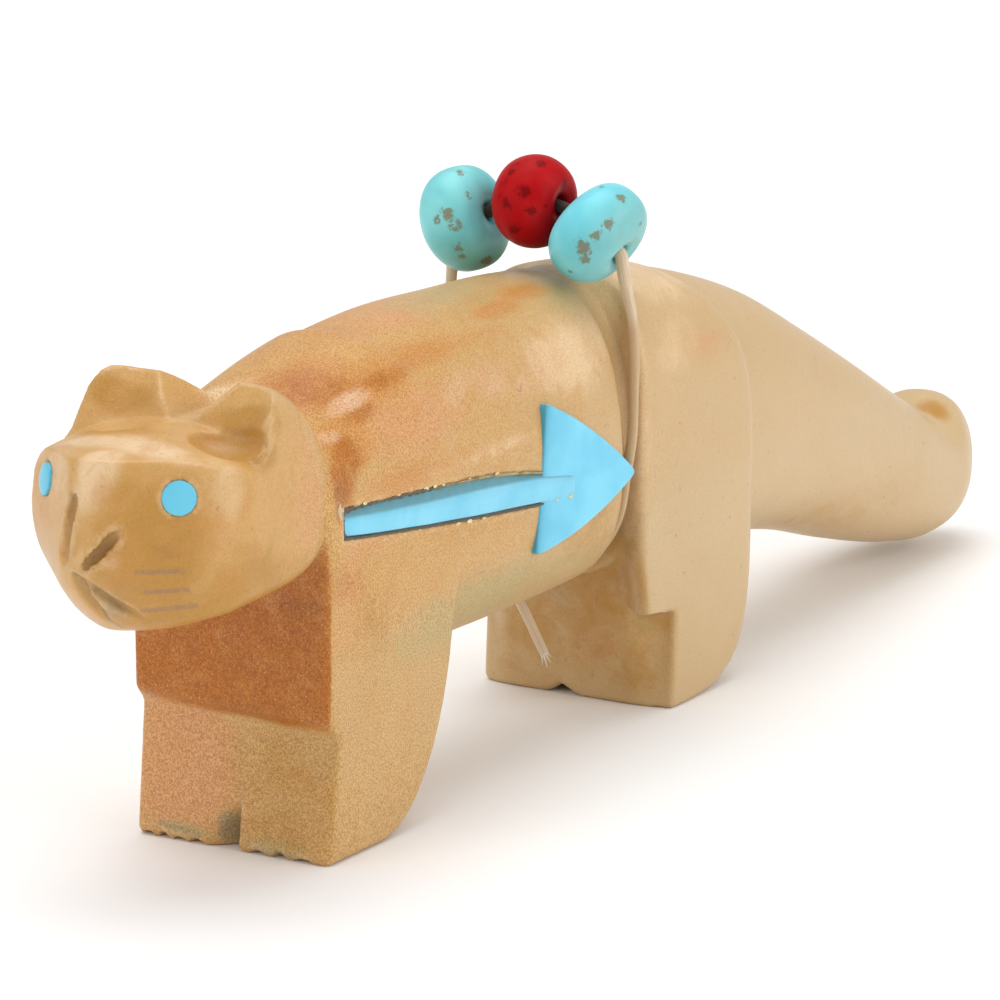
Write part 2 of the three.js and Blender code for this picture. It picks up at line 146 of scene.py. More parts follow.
def scoop(at: Spots, centre: Place, radii: Place) -> Array:
    """Field of an ellipsoid with its axes along the frame's.

    The scaled radius minus one, divided by the length of its gradient.

    Args:
        at: Places across, along and up.
        centre: Middle of the ellipsoid.
        radii: Its three half sizes.

    Returns:
        About the distance to the ellipsoid.
    """
    u, v, w = ((part - middle) / radius for part, middle, radius in zip(at, centre, radii))
    reach = np.sqrt(u * u + v * v + w * w) + 1e-6
    steep = np.sqrt((u / radii[0]) ** 2 + (v / radii[1]) ** 2 + (w / radii[2]) ** 2) + 1e-6
    return (reach - 1) * reach / steep


def stroke(at: Spots, start: Place, end: Place, width: float, deep: float, outward: Place) -> Array:
    """Field of one gouge stroke: a lens along a line, thickest midway.

    The place is split into a share of the way along the line, the distance aside and the
    distance along the outward direction. The lens is the ellipsoid of those three.

    Args:
        at: Places across, along and up.
        start: One end of the stroke.
        end: The other end.
        width: Full width aside.
        deep: How far the lens reaches into the stone.
        outward: Direction that the stroke opens to.

    Returns:
        About the distance to the lens.
    """
    a, b = np.array(start), np.array(end)
    run = (b - a) / np.linalg.norm(b - a)
    side = np.cross(np.array(outward), run)
    side /= np.linalg.norm(side)
    middle = (a + b) / 2
    halves = (np.linalg.norm(b - a) / 2, width / 2, deep)
    dx, dy, dz = (part - centre for part, centre in zip(at, middle))
    parts = [dx * way[0] + dy * way[1] + dz * way[2] for way in (run, side, np.cross(run, side))]
    return scoop(parts, (0, 0, 0), halves)


def bore(at: Spots, centre: Place, outward: Place, radius: float, deep: float) -> Array:
    """Field of a round hole sunk to a flat floor, open outwards.

    The square of the way from the centre, less the square of its part along the hole, is the
    square of the distance from the hole's axis.

    Args:
        at: Places across, along and up.
        centre: Middle of the hole's mouth.
        outward: Direction that the hole opens to.
        radius: Radius of the hole.
        deep: Depth of its floor below the centre.

    Returns:
        The field.
    """
    rise = plane(at, centre, outward)
    square = sum((part - middle) ** 2 for part, middle in zip(at, centre))
    away = np.sqrt(np.maximum(square - rise * rise, 0))
    return np.maximum(away - radius, -deep - rise)


def smooth_curve(knots: Sequence[float], values: Array | Sequence[float], at: Array) -> list[Array]:
    """Cubic curves through a row of knots.

    Each inner slope is the mean of the two chords beside it, weighted by the other's length.

    Args:
        knots: Rising places of the knots.
        values: One row of values for each knot.
        at: Places to read the curves at, held to the knots' range.

    Returns:
        One array for each column of values, shaped as `at`.
    """
    knots = np.asarray(knots, dtype=float)
    values = np.asarray(values, dtype=float).reshape(len(knots), -1)
    gaps = np.diff(knots)[:, None]
    chords = np.diff(values, axis=0) / gaps
    slopes = np.vstack([
        chords[:1],
        (gaps[:-1] * chords[1:] + gaps[1:] * chords[:-1]) / (gaps[:-1] + gaps[1:]),
        chords[-1:],
    ])
    at = np.clip(at, knots[0], knots[-1])
    i = np.clip(np.searchsorted(knots, at, side="right") - 1, 0, len(knots) - 2)
    gap = gaps[i, 0]
    t = (at - knots[i]) / gap
    rise, start, end = t * t * (3 - 2 * t), t * (1 - t) ** 2, t * t * (t - 1)
    return [
        values[i, k] + (values[i + 1, k] - values[i, k]) * rise
        + gap * (slopes[i, k] * start + slopes[i + 1, k] * end)
        for k in range(values.shape[1])
    ]


def bezier(a: Sequence[float], b: Sequence[float], c: Sequence[float], d: Sequence[float],
           t: Array) -> Array:
    """Points on a cubic curve from `a` to `d`, drawn towards `b` and `c` on the way.

    The corners are weighted by the cube of one less t, three t times its square, three t
    squared times it, and t cubed.

    Args:
        a: Start of the curve.
        b: First corner that it is drawn towards.
        c: Second corner.
        d: End of the curve.
        t: Shares of the way, as a column.

    Returns:
        One row for each share.
    """
    a, b, c, d = (np.array(point, dtype=float) for point in (a, b, c, d))
    return a * (1 - t) ** 3 + 3 * b * t * (1 - t) ** 2 + 3 * c * t * t * (1 - t) + d * t ** 3


def outline_distance(corners: Array, u: Array, v: Array) -> Array:
    """Distance to a closed outline in a plane, below zero inside.

    The distance is the least of those to the sides, and the sign comes from counting how
    often a line to the right crosses the outline.

    Args:
        corners: Corners of the outline, one row each.
        u: First coordinate of the places.
        v: Second coordinate.

    Returns:
        The signed distance.
    """
    u, v = np.broadcast_arrays(u, v)
    nearest = np.full(u.shape, np.inf)
    inside = np.zeros(u.shape, dtype=bool)
    for (au, av), (bu, bv) in zip(corners, np.roll(corners, -1, axis=0)):
        side_u, side_v = bu - au, bv - av
        share = np.clip(((u - au) * side_u + (v - av) * side_v) / (side_u ** 2 + side_v ** 2), 0, 1)
        away = (u - au - share * side_u) ** 2 + (v - av - share * side_v) ** 2
        nearest = np.minimum(nearest, away)
        if av != bv:
            crosses = ((av > v) != (bv > v)) & (u < au + (v - av) * side_u / side_v)
            inside ^= crosses
    return np.where(inside, -1, 1) * np.sqrt(nearest)


def rounded_section(x: Array, z: Array, half: Array, middle: Array, top: Array, low: Array,
                    square: Array) -> Array:
    """Field of a squarish oval section.

    The offsets across and up are scaled by the half width and by the reach above or below
    the widest level. Their powers are added, the root is taken, and the result less one is
    divided by its own slope.

    Args:
        x: Place across the body.
        z: Height.
        half: Half width.
        middle: Height of the widest part.
        top: Highest level.
        low: Lowest level.
        square: Power of the oval: 2 is an ellipse and more is squarer.

    Returns:
        About the distance to the section.
    """
    reach = np.where(z > middle, top - middle, middle - low)
    u, w = np.abs(x) / half, np.abs(z - middle) / reach
    size = np.maximum((u ** square + w ** square) ** (1 / square), 0.25)
    steep = np.hypot(u ** (square - 1) / half, w ** (square - 1) / reach) * size ** (1 - square)
    return (size - 1) / np.maximum(steep, 0.02)


# From a field to a mesh

@dataclass
class Skin:
    """A surface drawn from a field on a lattice of unevenly spaced planes."""

    corners: Array
    faces: Array

    @staticmethod
    def spaced(parts: Iterable[tuple[float, float, float]], coarse: float) -> Array:
        """Places of the lattice's planes.

        Args:
            parts: Start, end and step of each stretch, one after another.
            coarse: Factor on every step.

        Returns:
            Rising places.
        """
        rows = []
        for start, end, step in parts:
            count = max(2, round((end - start) / (step * coarse)))
            rows.append(np.linspace(start, end, count, endpoint=False))
        return np.concatenate(rows + [np.array([parts[-1][1]])])

    @classmethod
    def draw(cls, shape: Field, axes: Sequence[Array], steps: int = 4) -> "Skin":
        """Draws the surface where the field is zero.

        Every lattice edge whose ends have different signs is cut by the surface at the place
        where the field, taken as straight along the edge, is zero. A cell's corner of the mesh
        is the mean of the cuts on its edges, and each cut edge gives one face through the four
        cells round it. The corners are then slid along the field's slope onto the surface.

        Args:
            shape: The field.
            axes: Places of the lattice's planes across, along and up.
            steps: How many times the corners are slid.

        Returns:
            The surface, with its faces turned outwards.
        """
        sizes = [len(axis) for axis in axes]
        grid = [axis.reshape([-1 if k == way else 1 for k in range(3)])
                for way, axis in enumerate(axes)]
        value = np.broadcast_to(shape(grid), sizes)
        inside = value < 0
        cells = [size - 1 for size in sizes]
        total = math.prod(cells)
        stride = (cells[1] * cells[2], cells[2], 1)
        sums, hits, rings = np.zeros((3, total)), np.zeros(total), []
        for way in range(3):
            one, two = (way + 1) % 3, (way + 2) % 3
            first = tuple(slice(0, -1) if k == way else slice(None) for k in range(3))
            last = tuple(slice(1, None) if k == way else slice(None) for k in range(3))
            at = np.array(np.nonzero(inside[first] != inside[last]))
            beyond = at.copy()
            beyond[way] += 1
            here, there = value[tuple(at)], value[tuple(beyond)]
            share = here / (here - there)
            place = np.array([axes[k][at[k]] for k in range(3)])
            place[way] += share * (axes[way][beyond[way]] - axes[way][at[way]])
            around = []
            for back_one, back_two in ((1, 1), (0, 1), (0, 0), (1, 0)):
                cell = at.copy()
                cell[one] -= back_one
                cell[two] -= back_two
                index = sum(cell[k] * stride[k] for k in range(3))
                hits += np.bincount(index, minlength=total)
                for k in range(3):
                    sums[k] += np.bincount(index, weights=place[k], minlength=total)
                around.append(index)
            ring = np.stack(around, axis=1)
            rings.append(np.where((here < 0)[:, None], ring, ring[:, ::-1]))
        used = np.flatnonzero(hits)
        number = np.zeros(total, dtype=np.int64)
        number[used] = np.arange(len(used))
        corners = (sums[:, used] / hits[used]).T
        skin = cls(corners, number[np.concatenate(rings)])
        reach = SLIDE * float(min(np.diff(axis).min() for axis in axes))
        for _ in range(steps):
            skin.even_out(EVEN)
            skin.settle(shape, reach)
        skin.settle(shape, reach)
        return skin

    def even_out(self, share: float) -> None:
        """Moves each corner towards the mean of its neighbours.

        Args:
            share: Share of the way.
        """
        total = np.zeros_like(self.corners)
        count = np.zeros(len(self.corners))
        for k in range(4):
            here, there = self.faces[:, k], self.faces[:, (k + 1) % 4]
            for a, b in ((here, there), (there, here)):
                count += np.bincount(a, minlength=len(count))
                for way in range(3):
                    total[:, way] += np.bincount(a, weights=self.corners[b, way], minlength=len(count))
        self.corners += share * (total / count[:, None] - self.corners)

    def settle(self, shape: Field, reach: float) -> None:
        """Slides each corner along the field's slope onto the surface.

        Args:
            shape: The field.
            reach: How far a corner may slide.
        """
        value, slope = slope_of(shape, self.corners)
        steep = np.maximum((slope ** 2).sum(axis=1), 0.05)
        move = -(value / steep)[:, None] * slope
        size = np.linalg.norm(move, axis=1)
        self.corners += move * np.minimum(1, reach / np.maximum(size, 1e-9))[:, None]


def slope_of(shape: Field, points: Array, step: float = 0.02) -> tuple[Array, Array]:
    """The field and its slope at points, the slope from places a step to each side.

    Args:
        shape: The field.
        points: One row for each point.
        step: Distance to each side.

    Returns:
        The field's values, and its slopes with one row for each point.
    """
    slopes = []
    for way in range(3):
        shift = np.zeros(3)
        shift[way] = step
        slopes.append((shape((points + shift).T) - shape((points - shift).T)) / (2 * step))
    return shape(points.T), np.stack(slopes, axis=1)


# Objects

def new_object(name: str, corners: Array, faces: Iterable[Sequence[int]],
               smooth: bool = True) -> bpy.types.Object:
    """Makes an object at the origin from corners in the carving's frame.

    Args:
        name: Name of the piece.
        corners: Corners in the carving's millimetres.
        faces: Corner numbers of each face.
        smooth: Whether the faces are shaded as one curved surface.

    Returns:
        The object, linked to the scene.
    """
    mesh = bpy.data.meshes.new(name)
    mesh.from_pydata(to_frame(corners).tolist(), [], faces)
    mesh.polygons.foreach_set("use_smooth", [smooth] * len(mesh.polygons))
    mesh.update()
    obj = bpy.data.objects.new(name, mesh)
    bpy.context.scene.collection.objects.link(obj)
    return obj


def mark(obj: bpy.types.Object, name: str, values: Array) -> None:
    """Stores one number for each corner of a piece, for its material to read."""
    layer = obj.data.attributes.new(name, "FLOAT", "POINT")
    layer.data.foreach_set("value", np.asarray(values, dtype=np.float32))


def weather(obj: bpy.types.Object, wear_and_painted_light: Array | float = 0.0, matrix: Array | float = 0.0) -> None:
    """Stores the painted shade and the specks of each corner of a turquoise or coral piece.

    Args:
        obj: The piece.
        wear_and_painted_light: Strength of the painted shade, one number or one for each corner.
        matrix: Strength of the specks.
    """
    for name, values in (("wear_and_painted_light", wear_and_painted_light), ("matrix", matrix)):
        mark(obj, name, np.broadcast_to(values, len(obj.data.vertices)))


def dress(obj: bpy.types.Object, material: bpy.types.Material, slot: str) -> None:
    """Gives a new piece its material and its place on the body.

    Args:
        obj: The piece.
        material: Its material.
        slot: Name of the slot. Not used.
    """
    obj.data.materials.append(material)
    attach(obj, BODY)


def ease(t: Array) -> Array:
    """Rises from nought to one with level ends while `t` does: three t squared less two t cubed."""
    t = np.clip(t, 0, 1)
    return t * t * (3 - 2 * t)


def ripple(points: Array, size: float, seed: int) -> Array:
    """Slow waves from about -1 to 1: a sum of sines along seeded directions.

    Args:
        points: Places in any arrangement, three numbers each.
        size: Length of a wave.
        seed: Seed of the directions.

    Returns:
        One number for each place, arranged as they are.
    """
    count = 12
    dice = np.random.default_rng(seed)
    ways = dice.normal(size=(count, 3))
    lengths = dice.uniform(0.6, 1.6, count)
    ways *= (lengths * 2 * math.pi / size / np.linalg.norm(ways, axis=1))[:, None]
    waves = np.sin(points.reshape(-1, 3) @ ways.T + dice.uniform(0, 2 * math.pi, count))
    return (waves.sum(axis=1) / 3.5).reshape(points.shape[:-1])


def drawn_through(points: Sequence[Array], count: int) -> Array:
    """Places spaced evenly along a smooth curve through points.

    Args:
        points: Places that the curve goes through.
        count: How many places to give.

    Returns:
        One row for each place.
    """
    points = np.asarray(points, dtype=float)
    reach = np.concatenate([[0], np.cumsum(np.linalg.norm(np.diff(points, axis=0), axis=1))])
    return np.stack(smooth_curve(reach, points, np.linspace(0, reach[-1], count)), axis=1)


@dataclass
class Shell:
    """A closed surface woven from rows of corners."""

    corners: Array
    faces: list[list[int]]
    columns: int = 1

    @classmethod
    def rows(cls, places: Array, ring: bool = False) -> "Shell":
        """Weaves rows of corners, each row closed on itself, into a surface.

        A face joins two neighbours in a row to the two beside them in the next row. The volume,
        summed from the faces' corners, tells whether they point outwards or have to be turned.

        Args:
            places: Corners by row and column.
            ring: Whether the last row joins the first. If not, both end rows are capped.

        Returns:
            The surface.
        """
        rows, columns = places.shape[:2]
        i, j = np.arange(rows if ring else rows - 1)[:, None], np.arange(columns)[None, :]
        i2, j2 = (i + 1) % rows * columns, (j + 1) % columns
        quads = np.stack([i * columns + j, i * columns + j2, i2 + j2, i2 + j], axis=-1).reshape(-1, 4)
        corners = places.reshape(-1, 3)
        a, b, c, d = (corners[quads[:, k]] - corners.mean(axis=0) for k in range(4))
        volume = (np.cross(a, b) * c).sum() + (np.cross(a, c) * d).sum()
        faces = quads.tolist()
        if not ring:
            last = (rows - 1) * columns
            faces += [list(range(columns))[::-1], list(range(last, last + columns))]
        if volume < 0:
            faces = [face[::-1] for face in faces]
        return cls(corners, faces, columns)

    @classmethod
    def tube(cls, path: Array, wide: Array, thick: Array, sides: int,
             across: Array | Place = (0.0, 1.0, 0.0), ring: bool = False) -> "Shell":
        """A flattened strand carried along a path.

        The run at each place is the difference of its neighbours. One axis of the section is the
        run crossed with `across` and the other is the run crossed with that axis. A row is the
        place plus the cosine and the sine of the turn along the two, times the half sizes.

        Args:
            path: Places along the strand.
            wide: Half width along the first axis at each place.
            thick: Half width along the second.
            sides: Corners in a row.
            across: A direction, or one for each place, that the strand never runs along.
            ring: Whether the path is closed.

        Returns:
            The surface.
        """
        looped = np.roll(path, -1, axis=0) - np.roll(path, 1, axis=0)
        run = looped if ring else np.gradient(path, axis=0)
        run = run / np.linalg.norm(run, axis=1)[:, None]
        one = np.cross(run, np.broadcast_to(np.asarray(across, dtype=float), path.shape))
        one = one / np.linalg.norm(one, axis=1)[:, None]
        two = np.cross(run, one)
        turn = np.linspace(0, 2 * math.pi, sides, endpoint=False)[None, :, None]
        places = path[:, None] + np.cos(turn) * (one * np.asarray(wide)[:, None])[:, None]
        return cls.rows(places + np.sin(turn) * (two * np.asarray(thick)[:, None])[:, None], ring)

    @classmethod
    def together(cls, shells: Sequence["Shell"]) -> "Shell":
        """Puts several closed surfaces into one.

        Args:
            shells: The surfaces.

        Returns:
            One surface with all their corners, in order.
        """
        faces, start = [], 0
        for shell in shells:
            faces += [[corner + start for corner in face] for face in shell.faces]
            start += len(shell.corners)
        return cls(np.vstack([shell.corners for shell in shells]), faces)

    def around(self) -> Array:
        """How far round its row each corner lies, from -1 to 1 and back without a seam."""
        turn = np.arange(len(self.corners)) % self.columns / self.columns
        return np.cos(2 * math.pi * turn)

    def piece(self, name: str, smooth_by: float = 0.0) -> bpy.types.Object:
        """Makes the surface an object.

        Args:
            name: Name of the piece.
            smooth_by: Angle in degrees above which an edge stays crisp, or nought for none.

        Returns:
            The object.
        """
        obj = new_object(name, self.corners, self.faces)
        if smooth_by:
            obj.data.set_sharp_from_angle(angle=math.radians(smooth_by))
        return obj


# Finishes

class Stain(Enum):
    """Stains of the stone and one painted sheen, in the order in which they are laid, named as the finish
    names them.
    """

    PALE = "pale"
    ROSE = "rose"
    OLIVE = "olive"
    ORANGE = "orange"
    GOLD = "gold"
    OCHRE = "ochre"
    BROWN = "brown"
    GREY = "grey"
    # Not a stain: a pinkish painted sheen that stands for soft highlights.
    BLUSH = "blush"


class Recipe:
    """Lays down shader nodes for one material and joins them."""

    def __init__(self, name: str) -> None:
        """Starts a material with one shader.

        Args:
            name: Name of the material.
        """
        self.material = bpy.data.materials.new(name)
        self.material.use_nodes = True
        self.tree = self.material.node_tree
        self.shader = self.tree.nodes["Principled BSDF"]
        self.place = self.node("ShaderNodeTexCoord").outputs["Object"]

    def node(self, kind: str, **settings: object) -> bpy.types.Node:
        """Adds a node.

        Args:
            kind: Blender's name of the node.
            settings: Its settings by name.

        Returns:
            The node.
        """
        made = self.tree.nodes.new(kind)
        for name, value in settings.items():
            setattr(made, name, value)
        return made

    def feed(self, socket: Socket, value: object) -> None:
        """Joins a socket to another, or sets its value.

        Args:
            socket: The socket that is fed.
            value: A socket or a plain value.
        """
        if isinstance(value, Socket):
            self.tree.links.new(value, socket)
        else:
            socket.default_value = value

    def shade(self, **values: object) -> None:
        """Sets the shader's sockets, with spaces in their names written as underscores."""
        for name, value in values.items():
            self.feed(self.shader.inputs[name.replace("_", " ")], value)

    def marked(self, name: str) -> Socket:
        """Reads the numbers stored on the piece under a name."""
        return self.node("ShaderNodeAttribute", attribute_name=name).outputs["Fac"]

    def stretched(self, scale: Place) -> Socket:
        """The place on the piece, scaled.

        Args:
            scale: Factor for each axis.

        Returns:
            The scaled place.
        """
        mapping = self.node("ShaderNodeMapping")
        self.feed(mapping.inputs["Vector"], self.place)
        self.feed(mapping.inputs["Scale"], scale)
        return mapping.outputs["Vector"]

    def noise(self, size: float, detail: float = 2.0, rough: float = 0.5, warp: float = 0.0,
              place: object = None) -> Socket:
        """Cloudy noise whose blots are about `size` millimetres wide.

        Args:
            size: Width of a blot.
            detail: How many finer layers are added.
            rough: Strength of the finer layers.
            warp: How far the noise bends itself.
            place: Socket to read the place from.

        Returns:
            The noise, about a half on average.
        """
        made = self.node("ShaderNodeTexNoise")
        self.feed(made.inputs["Vector"], place or self.place)
        settings = {"Scale": 1 / (size * MM), "Detail": detail, "Roughness": rough, "Distortion": warp}
        for name, value in settings.items():
            self.feed(made.inputs[name], value)
        return made.outputs["Fac"]

    def math(self, kind: str, *values: object, clamp: bool = False) -> Socket:
        """One arithmetic step.

        Args:
            kind: Blender's name of the step.
            values: Numbers or sockets.
            clamp: Whether the result is held between nought and one.

        Returns:
            The result.
        """
        made = self.node("ShaderNodeMath", operation=kind, use_clamp=clamp)
        for socket, value in zip(made.inputs, values):
            self.feed(socket, value)
        return made.outputs[0]

    def vector(self, kind: str, *values: object, out: str = "Vector") -> Socket:
        """One arithmetic step on vectors.

        Args:
            kind: Blender's name of the step.
            values: Arrays or sockets.
            out: Name of the output, which is Value where the result is a number.

        Returns:
            The result.
        """
        made = self.node("ShaderNodeVectorMath", operation=kind)
        for socket, value in zip(made.inputs, values):
            self.feed(socket, value.tolist() if isinstance(value, np.ndarray) else value)
        return made.outputs[out]

    def times(self, one: object, other: object) -> Socket:
        """One number times another."""
        return self.math("MULTIPLY", one, other)

    def swing(self, share: object, width: float) -> Socket:
        """Turns a share into a number that swings about nought, `width` from end to end."""
        return self.math("MULTIPLY_ADD", share, width, -width / 2)

    def ramp(self, value: object, low: float, high: float) -> Socket:
        """Rises smoothly from nought to one.

        Args:
            value: Number that is read.
            low: Where the rise starts.
            high: Where it ends.

        Returns:
            The share.
        """
        made = self.node("ShaderNodeMapRange", interpolation_type="SMOOTHSTEP", clamp=True)
        for name, number in (("Value", value), ("From Min", low), ("From Max", high)):
            self.feed(made.inputs[name], number)
        return made.outputs["Result"]

    def mix(self, share: object, one: object, other: object, blend: str = "MIX") -> Socket:
        """Blends two colours.

        Args:
            share: How much of the other colour is taken.
            one: First colour or socket.
            other: Second colour or socket.
            blend: Way of blending.

        Returns:
            The blended colour.
        """
        made = self.node("ShaderNodeMix", data_type="RGBA", blend_type=blend)
        sockets = [s for s in made.inputs if s.type == "RGBA"]
        self.feed(made.inputs[0], share)
        for socket, value in zip(sockets, (one, other)):
            self.feed(socket, value if isinstance(value, Socket) else (*value, 1.0))
        return next(s for s in made.outputs if s.type == "RGBA")

    def lay(self, tint: Colour, share: object, strength: float, under: object) -> Socket:
        """Lays a tint over a colour, by a share times a strength."""
        return self.mix(self.times(share, strength), under, tint)

    def streak(self, start: Place, end: Place, width: float, outward: Place) -> Socket:
        """A soft line on the surface: one on the line and nought beyond `width` from it.

        The place less the start, projected on the run and held to its length, gives the nearest
        point of the line. The way to that point, less its part along the outward direction, is
        as long as the distance aside, which is turned into a share.

        Args:
            start: One end, in the carving's millimetres.
            end: The other end.
            width: Half width in millimetres.
            outward: Direction in which the surface faces.

        Returns:
            The share.
        """
        a, b = to_frame(start), to_frame(end)
        run = b - a
        away = self.vector("SUBTRACT", self.place, a)
        along = self.vector("DOT_PRODUCT", away, run / (run @ run), out="Value")
        held = self.math("MULTIPLY", along, 1.0, clamp=True)
        gap = self.vector("SUBTRACT", away, self.vector("MULTIPLY", run, held))
        lift = self.vector("PROJECT", gap, np.array(outward) / np.linalg.norm(outward))
        aside = self.vector("DISTANCE", gap, lift, out="Value")
        near = self.math("SUBTRACT", 1.0, self.ramp(aside, 0.3 * width * MM, width * MM))
        off = self.vector("LENGTH", lift, out="Value")
        return self.times(near, self.math("LESS_THAN", off, 0.9 * MM))

    def relief(self, height: object, depth: float, strength: float) -> None:
        """Roughens the surface.

        Args:
            height: Height in shares of the depth.
            depth: Depth in millimetres.
            strength: Strength of the effect.
        """
        bump = self.node("ShaderNodeBump")
        for name, value in (("Height", height), ("Distance", depth * MM), ("Strength", strength)):
            self.feed(bump.inputs[name], value)
        self.feed(self.shader.inputs["Normal"], bump.outputs["Normal"])


@dataclass(frozen=True)
class StoneFinish:
    """Fine sandy tan stone with ochre, rose and olive stains and a satin polish."""

    tan: Colour = (0.545, 0.355, 0.158)
    sand: Colour = (0.605, 0.43, 0.228)
    warm: Colour = (0.60, 0.340, 0.110)
    # Colour of the painted sheen: soft pinkish highlights.
    blush: Colour = (0.70, 0.42, 0.25)
    # Pale stone, also laid as painted highlight along the brow and on rims, and as painted light in the
    # groove.
    pale: Colour = (0.77, 0.54, 0.31)
    rose: Colour = (0.64, 0.32, 0.135)
    orange: Colour = (0.58, 0.27, 0.075)
    olive: Colour = (0.48, 0.36, 0.155)
    gold: Colour = (0.48, 0.245, 0.050)
    ochre: Colour = (0.43, 0.135, 0.010)
    brown: Colour = (0.27, 0.115, 0.045)
    # A stain, and also the painted shade laid in hollows.
    grey: Colour = (0.27, 0.235, 0.135)
    glint: Colour = (0.88, 0.56, 0.18)
    streaks: tuple[tuple[Place, Place, float, Place, str], ...] = (
        ((1.9, -9.08, 13.72), (3.39, -8.06, 13.72), 0.15, (0.62, -0.78, 0.1), "whisker"),
        ((2.14, -8.78, 13.0), (3.45, -7.92, 13.02), 0.14, (0.6, -0.78, -0.1), "whisker"),
        ((1.9, -8.68, 12.26), (3.6, -7.64, 12.4), 0.17, (0.55, -0.76, -0.35), "whisker"),
        ((-0.1, -10.1, 13.3), (3.0, -8.45, 10.85), 0.2, (0.5, -0.8, -0.5), "slit"),
        ((-0.45, -10.1, 13.4), (0.5, -8.9, 10.9), 0.2, (-0.3, -0.9, -0.5), "slit"),
        ((-3.4, 0.2, 0.62), (-1.6, 0.2, 0.42), 0.2, (0.0, -1.0, 0.0), "scratch"),
        ((1.1, 0.3, 0.30), (3.1, 0.3, 0.2), 0.17, (0.0, -1.0, 0.0), "scratch"),
        ((4.2, 14.85, 16.45), (4.15, 15.15, 16.25), 0.04, (0.9, 0.0, 0.4), "hair"),
        ((4.15, 15.15, 16.25), (4.1, 15.45, 16.65), 0.04, (0.9, 0.0, 0.4), "hair"),
        ((4.1, 15.45, 16.65), (4.1, 15.5, 16.8), 0.035, (0.9, 0.0, 0.4), "hair"),
    )
    slit: Colour = (0.20, 0.16, 0.075)
    hair: Colour = (0.20, 0.14, 0.09)
    whisker: Colour = (0.30, 0.17, 0.12)
    scratch: Colour = (0.33, 0.27, 0.16)
    grain_dark: Colour = (0.75, 0.66, 0.56)
    grain_light: Colour = (1.20, 1.24, 1.24)

    def material(self) -> bpy.types.Material:
        """Builds the stone's material.

        Soft clouds mix tan, sand and a warmer tan. Each stain, the painted sheen and the pale
        washes of painted light are numbers stored on the surface, made uneven by noise. Over them
        lie mottling, pores and a few drawn streaks, edges are rubbed pale as wear and painted
        highlight, a dense grain of a tenth of a millimetre darkens and lightens what is below it,
        with glints in it, and hollows are greyer with painted shade.

        Returns:
            The material.
        """
        recipe = Recipe("fine_sandstone")
        clouds = recipe.swing(recipe.noise(6.0, 3, 0.6, 0.5), 1.2)
        share = recipe.math("ADD", recipe.marked("sand"), clouds, clamp=True)
        colour = recipe.mix(share, self.tan, self.sand)
        heat = recipe.math("MULTIPLY_ADD", clouds, 0.5, recipe.marked("warm"), clamp=True)
        colour = recipe.mix(heat, colour, self.warm)
        ragged = recipe.swing(recipe.noise(1.7, 5, 0.62, 0.7), 1.1)
        streaky = recipe.swing(recipe.noise(0.9, 4, 0.6, 0.4, recipe.stretched((0.5, 0.28, 1.0))), 0.9)
        # The loop also lays the painted sheen and, among the pale washes, painted light.
        for stain in Stain:
            stored = recipe.marked(stain.value)
            uneven = streaky if stain in (Stain.ROSE, Stain.ORANGE, Stain.BROWN) else ragged
            wavering = recipe.times(recipe.ramp(stored, 0.0, 0.35), uneven)
            share = recipe.ramp(recipe.math("ADD", stored, wavering), 0.03, 0.82)
            colour = recipe.mix(share, colour, getattr(self, stain.value))
        mottled = recipe.ramp(recipe.noise(1.3, 5, 0.66, 0.6), 0.46, 0.66)
        colour = recipe.lay(self.orange, recipe.times(mottled, recipe.marked("warm")), 0.42, colour)
        colour = recipe.lay(self.brown, recipe.ramp(recipe.noise(0.32, 2, 0.55), 0.68, 0.73), 0.3, colour)
        broken = recipe.ramp(recipe.noise(0.22, 3, 0.6, 0.5), 0.2, 0.56)
        for start, end, width, outward, tint in self.streaks:
            line = recipe.times(recipe.streak(start, end, width, outward), broken)
            colour = recipe.lay(getattr(self, tint), line, 0.58, colour)
        # Rims rubbed pale: wear, and partly a painted highlight along the edges.
        wear_and_painted_light = recipe.times(recipe.marked("rim"), recipe.ramp(recipe.noise(0.6, 4, 0.6), 0.35, 0.6))
        colour = recipe.lay(self.pale, wear_and_painted_light, 0.35, colour)
        grain = recipe.noise(0.08, 2, 0.6)
        dark = recipe.mix(1.0, colour, self.grain_dark, "MULTIPLY")
        light = recipe.mix(1.0, colour, self.grain_light, "MULTIPLY")
        sanded = recipe.mix(recipe.ramp(grain, 0.36, 0.62), dark, light)
        colour = recipe.mix(recipe.marked("grain"), colour, sanded)
        flecks = recipe.ramp(recipe.noise(0.08, 1, 0.5, 0.0, recipe.stretched((1.2, 1.1, 0.9))), 0.64, 0.74)
        colour = recipe.lay(self.glint, recipe.times(flecks, recipe.marked("grain")), 0.6, colour)
        # Painted shade: the hollows are greyed.
        hollow = recipe.math("MULTIPLY", recipe.marked("hollow"), 0.38, clamp=True)
        colour = recipe.mix(hollow, colour, self.grey)
        satin = recipe.math("MULTIPLY_ADD", recipe.noise(0.5, 3, 0.6), 0.22, 0.20)
        rough = recipe.math("MULTIPLY_ADD", recipe.marked("grain"), 0.12, satin)
        recipe.shade(Base_Color=colour, Roughness=rough, Specular_IOR_Level=0.38, IOR=1.5)
        recipe.relief(recipe.math("MULTIPLY_ADD", recipe.noise(0.8, 3, 0.6), 1.6, grain), 0.010, 1.0)
        return recipe.material


